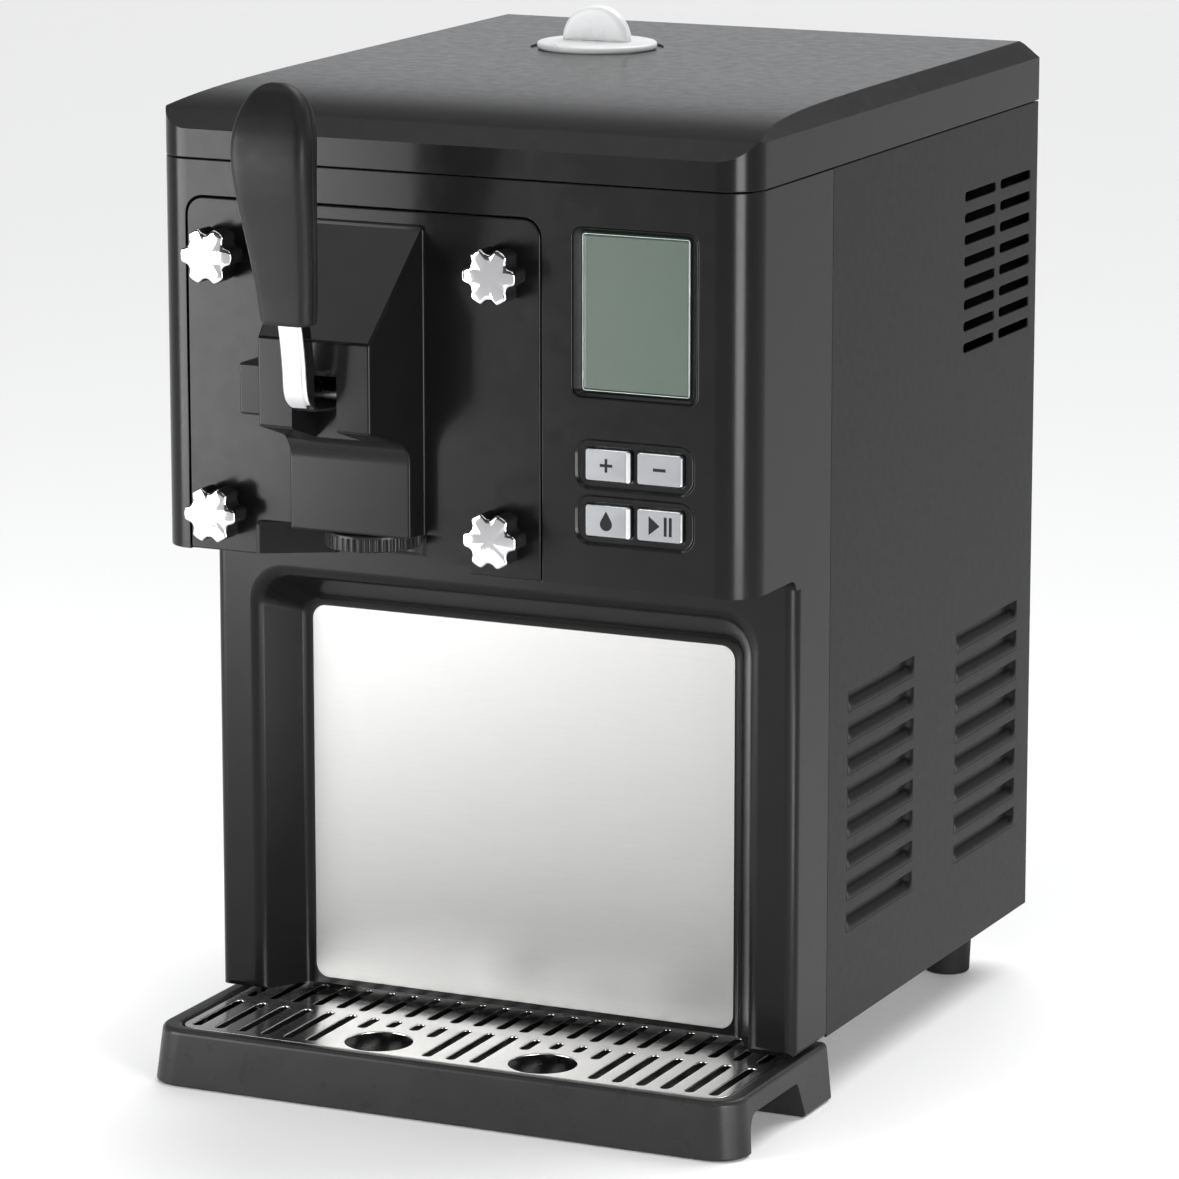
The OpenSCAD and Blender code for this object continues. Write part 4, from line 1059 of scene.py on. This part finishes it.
def drip_tray():
    """The tray flares towards its foot; an arch runs through it from side to side."""
    grow = (TRAY_HIGH.x - TRAY_LOW.x - BODY_W) / 2

    def ring(z, out):
        return lift(plan(BODY_W + 2 * out, TRAY_FRONT - out, TRAY_BACK, 15 + min(out, 0), 14), z, "z")

    top, bottom = TRAY_HIGH.z, TRAY_LOW.z
    rings = [ring(bottom, grow - 1.2), ring(bottom + 0.35, grow - 0.35), ring(bottom + 1.2, grow)]
    rings.append(ring(top - 2.6, 0.25))
    for a in (15, 30, 45, 60, 75, 90):
        t = math.radians(a)
        rings.append(ring(top - 2.6 + 2.6 * math.sin(t), 0.25 - 2.6 * (1 - math.cos(t))))
    tray = loft("tray", rings)
    basin = plan(BODY_W - 18, TRAY_FRONT + 7.5, TRAY_BACK - 2.6, 9, 10)
    lip = [(top + 1, -3.0), (top, -3.0), (top - 0.3, -1.5), (top - 1.2, -0.4), (top - 2.6, 0),
           (BASIN_Z + 1.5, 0), (BASIN_Z + 0.4, 0.5), (BASIN_Z, 1.6)]
    under = round_path([(61.5, -40), (61.5, -27), (56, -11.5), (3, -11.5), (0.5, -27), (0.5, -40)],
                       [0, 2.5, 3, 8, 3, 0], 6)
    front = stack("front", plan(BODY_W - 6, TRAY_FRONT + 3, 40, 12, 8),
                  [(bottom - 1, 0), (bottom + 16, 0)], "z")
    boolean(front, [block("limit", (-200, -2.5, bottom - 5), (200, 60, bottom + 20))])
    back = block("back", (-HALF_W + 3, 64, bottom - 1), (HALF_W - 3, TRAY_BACK - 2.6, bottom + 16))
    cutters = [loft("basin", [lift(inset(basin, d), z, "z") for z, d in lip]),
               loft("arch", [lift(under, x, "x") for x in (-HALF_W - 9, HALF_W + 9)])]
    boolean(tray, [*cutters, front, back])
    settle(tray, "tray", "tray", "tray_plastic", ["drip_tray"], 35)


def drip_grille():
    """A punched sheet: two rows of slots, shorter ones behind the two round drains, and its legs."""
    low, high = place("drip_grille")
    pitch = 11.75
    holes = []
    for i in range(-11, 12):
        x = i * pitch
        holes.append(rounded(4.4, 32.5, 2.1, x, 67.75, 4))
        near = abs(abs(i) - 3.5)
        start = -1 if near > 2 else (27 if near > 1 else 33)
        end = 44 if near > 2 else 43.5
        holes.append(rounded(4.4, end - start, 2.1, x, (start + end) / 2, 4))
    for side in (-1, 1):
        holes.append(circle(15.5, 48, side * 3.5 * pitch, 11))
    outer = plan(high.x - low.x, low.y, high.y, 8.6, 8)
    sheet = perforated("sheet", outer, holes, high.z - 1, high.z, "z", 0.45, 3)
    legs = [lathe("leg", [(1.8, low.z), (1.8, high.z - 0.9)], (side * 133.5, y, 0), 20)
            for side in (-1, 1) for y in (15, 68)]
    grille = merge("grille", [sheet, *legs])
    settle(grille, "grille", "tray", "grille_steel", ["drip_grille"], 40)


# ---- sheet-metal body

SIDE_Y = FRONT_D + 0.3
SHEET = 1.2
LOUVRE_Y = (114, 247.5)
LOUVRE_L = 80
LOUVRE_H = 9.5
LOUVRE_D = 3.8
LOUVRE_Z = 156
LOUVRE_PITCH = 14.7
SCREW_Z = (16, 138, 260, 382)


def closed_grid(name, point, columns, rows, thick):
    """A curved sheet: point(u, v) gives its outer face, and the inner one is thick behind it in X."""
    bm = bmesh.new()
    faces = []
    for shift in (0, -thick):
        faces.append([[bm.verts.new(Vector(point(i / columns, j / rows)) + Vector((shift, 0, 0)))
                       for j in range(rows + 1)] for i in range(columns + 1)])
    for grid in faces:
        for i in range(columns):
            for j in range(rows):
                bm.faces.new((grid[i][j], grid[i + 1][j], grid[i + 1][j + 1], grid[i][j + 1]))
    outer, inner = faces
    loop = [(i, 0) for i in range(columns)] + [(columns, j) for j in range(rows)]
    loop += [(i, rows) for i in range(columns, 0, -1)] + [(0, j) for j in range(rows, 0, -1)]
    for (i, j), (k, m) in zip(loop, loop[1:] + loop[:1]):
        bm.faces.new((outer[i][j], outer[k][m], inner[k][m], inner[i][j]))
    return to_object(name, bm)


def louvre(y0, top):
    """A scoop pressed inwards: a flat deep part under its top edge, a slope below, round ends."""
    def point(u, v):
        along = 0.5 - 0.5 * math.cos(math.pi * u)
        from_end = min(along, 1 - along) * LOUVRE_L
        t = min(1.0, from_end / 5.2)
        end = t * t * (3 - 2 * t)
        t = min(1.0, v / 0.62)
        rise = t**3 * (4 - 3 * t)
        return HALF_W - LOUVRE_D * end * rise, y0 + LOUVRE_L * along, top - LOUVRE_H * (1 - v)
    return closed_grid("louvre", point, 44, 12, SHEET)


def side_panel():
    tops = [LOUVRE_Z - i * LOUVRE_PITCH for i in range(8)]
    holes = [rounded(LOUVRE_L, LOUVRE_H, 0.2, y + LOUVRE_L / 2, z - LOUVRE_H / 2, 1)
             for y in LOUVRE_Y for z in tops]
    holes += [rounded(39.4, 4.4, 1.8, y + 19.6, 362.3 - i * 10.2, 3) for y in (251.6, 297.4)
              for i in range(8)]
    low, high = place("right_panel")
    outer = rounded(high.y - 0.2 - SIDE_Y, high.z, 0.6, (SIDE_Y + high.y - 0.2) / 2, high.z / 2, 3)
    skin = perforated("skin", outer, holes, HALF_W - SHEET, HALF_W, "x", 0.45, 3)
    scoops = [louvre(y, z) for y in LOUVRE_Y for z in tops]
    behind = high.y - SHEET - 0.1
    flange = block("flange", (low.x, behind - SHEET, 0.3), (HALF_W - 0.3, behind, high.z - 0.3))
    drills = [lathe("drill", [(2, behind - 5), (2, behind + 5)], (HALF_W - 9, 0, z), 16, "y")
              for z in SCREW_Z]
    boolean(flange, drills)
    right = merge("side", [skin, *scoops, flange])
    left = mirrored(right, "left")
    settle(right, "right_side", "housing", "body_metal", ["right_panel"], 40)
    settle(left, "left_side", "housing", "body_metal", ["left_panel"], 40)


def back_panel():
    low, high = place("rear_panel")
    inlet = middle("power_inlet")
    holes = [rounded(46, 4.4, 2.1, side * 30, 170 + 10 * i, 4) for side in (-1, 1) for i in range(10)]
    holes.append(rounded(29, 67.8, 2.5, inlet.x, inlet.z, 4))
    holes += [circle(2.2, 16, side * (HALF_W - 9), z) for side in (-1, 1) for z in SCREW_Z]
    outer = rounded(high.x - low.x, high.z - low.z, 1, 0, high.z / 2, 3)
    sheet = perforated("back", outer, holes, low.y, high.y, "y", 0.3, 2)
    settle(sheet, "back_sheet", "housing", "body_metal", ["rear_panel"], 40)


def rear_screws():
    """Pan heads with a crossed recess."""
    y = BODY_D
    head = round_path([(0.01, 1.6), (3.1, 1.5), (3.8, 0.5), (3.8, 0)], [0, 1.2, 0.4, 0], 4)
    profile = [(1.9, -8), (1.9, 0), (3.8, 0)] + head[::-1][1:]
    screw = lathe("screw", profile, (0, y, 0), 32, "y")
    cross = [block("cross", (-a, y + 0.7, -b), (a, y + 3, b)) for a, b in ((2.0, 0.35), (0.35, 2.0))]
    boolean(screw, cross)
    copies = []
    for side in (-1, 1):
        for z in SCREW_Z:
            bm = bmesh.new()
            bm.from_mesh(screw.data)
            bmesh.ops.translate(bm, vec=(side * (HALF_W - 9), 0, z), verts=bm.verts)
            copies.append(to_object("screw", bm))
    bpy.data.objects.remove(screw)
    settle(merge("screws", copies), "back_screws", "housing", "screw_steel", ["rear_screws"], 40)


def rubber_feet():
    height = -FLOOR_Z
    profile = round_path([(0.01, -height), (10.8, -height), (12.2, -0.3), (12.2, 0), (0.01, 0)],
                         [0, 1.4, 0.4, 0, 0], 5)
    feet = [lathe("foot", profile, (side * 116, y, 0), 48) for side in (-1, 1) for y in (112, 316)]
    settle(merge("feet", feet), "rubber_feet", "housing", "foot_rubber", ["feet"], 45)


# ---- the CAD nodes that stay


def paint_frame():
    """Gives every CAD node its record slot's finish."""
    for part in frame["record"]["subparts"]:
        mesh = frame["nodes"][part["node"]].data
        mesh.materials.clear()
        mesh.materials.append(FINISH[part["material_slot"]])


paint_frame()
front_shell()
top_cover()
filler_cap()
front_door()
star_knobs()
lever_neck()
lever_grip()
knurled_ring()
display_parts()
push_buttons()
backsplash()
drip_tray()
drip_grille()
side_panel()
back_panel()
rear_screws()
rubber_feet()
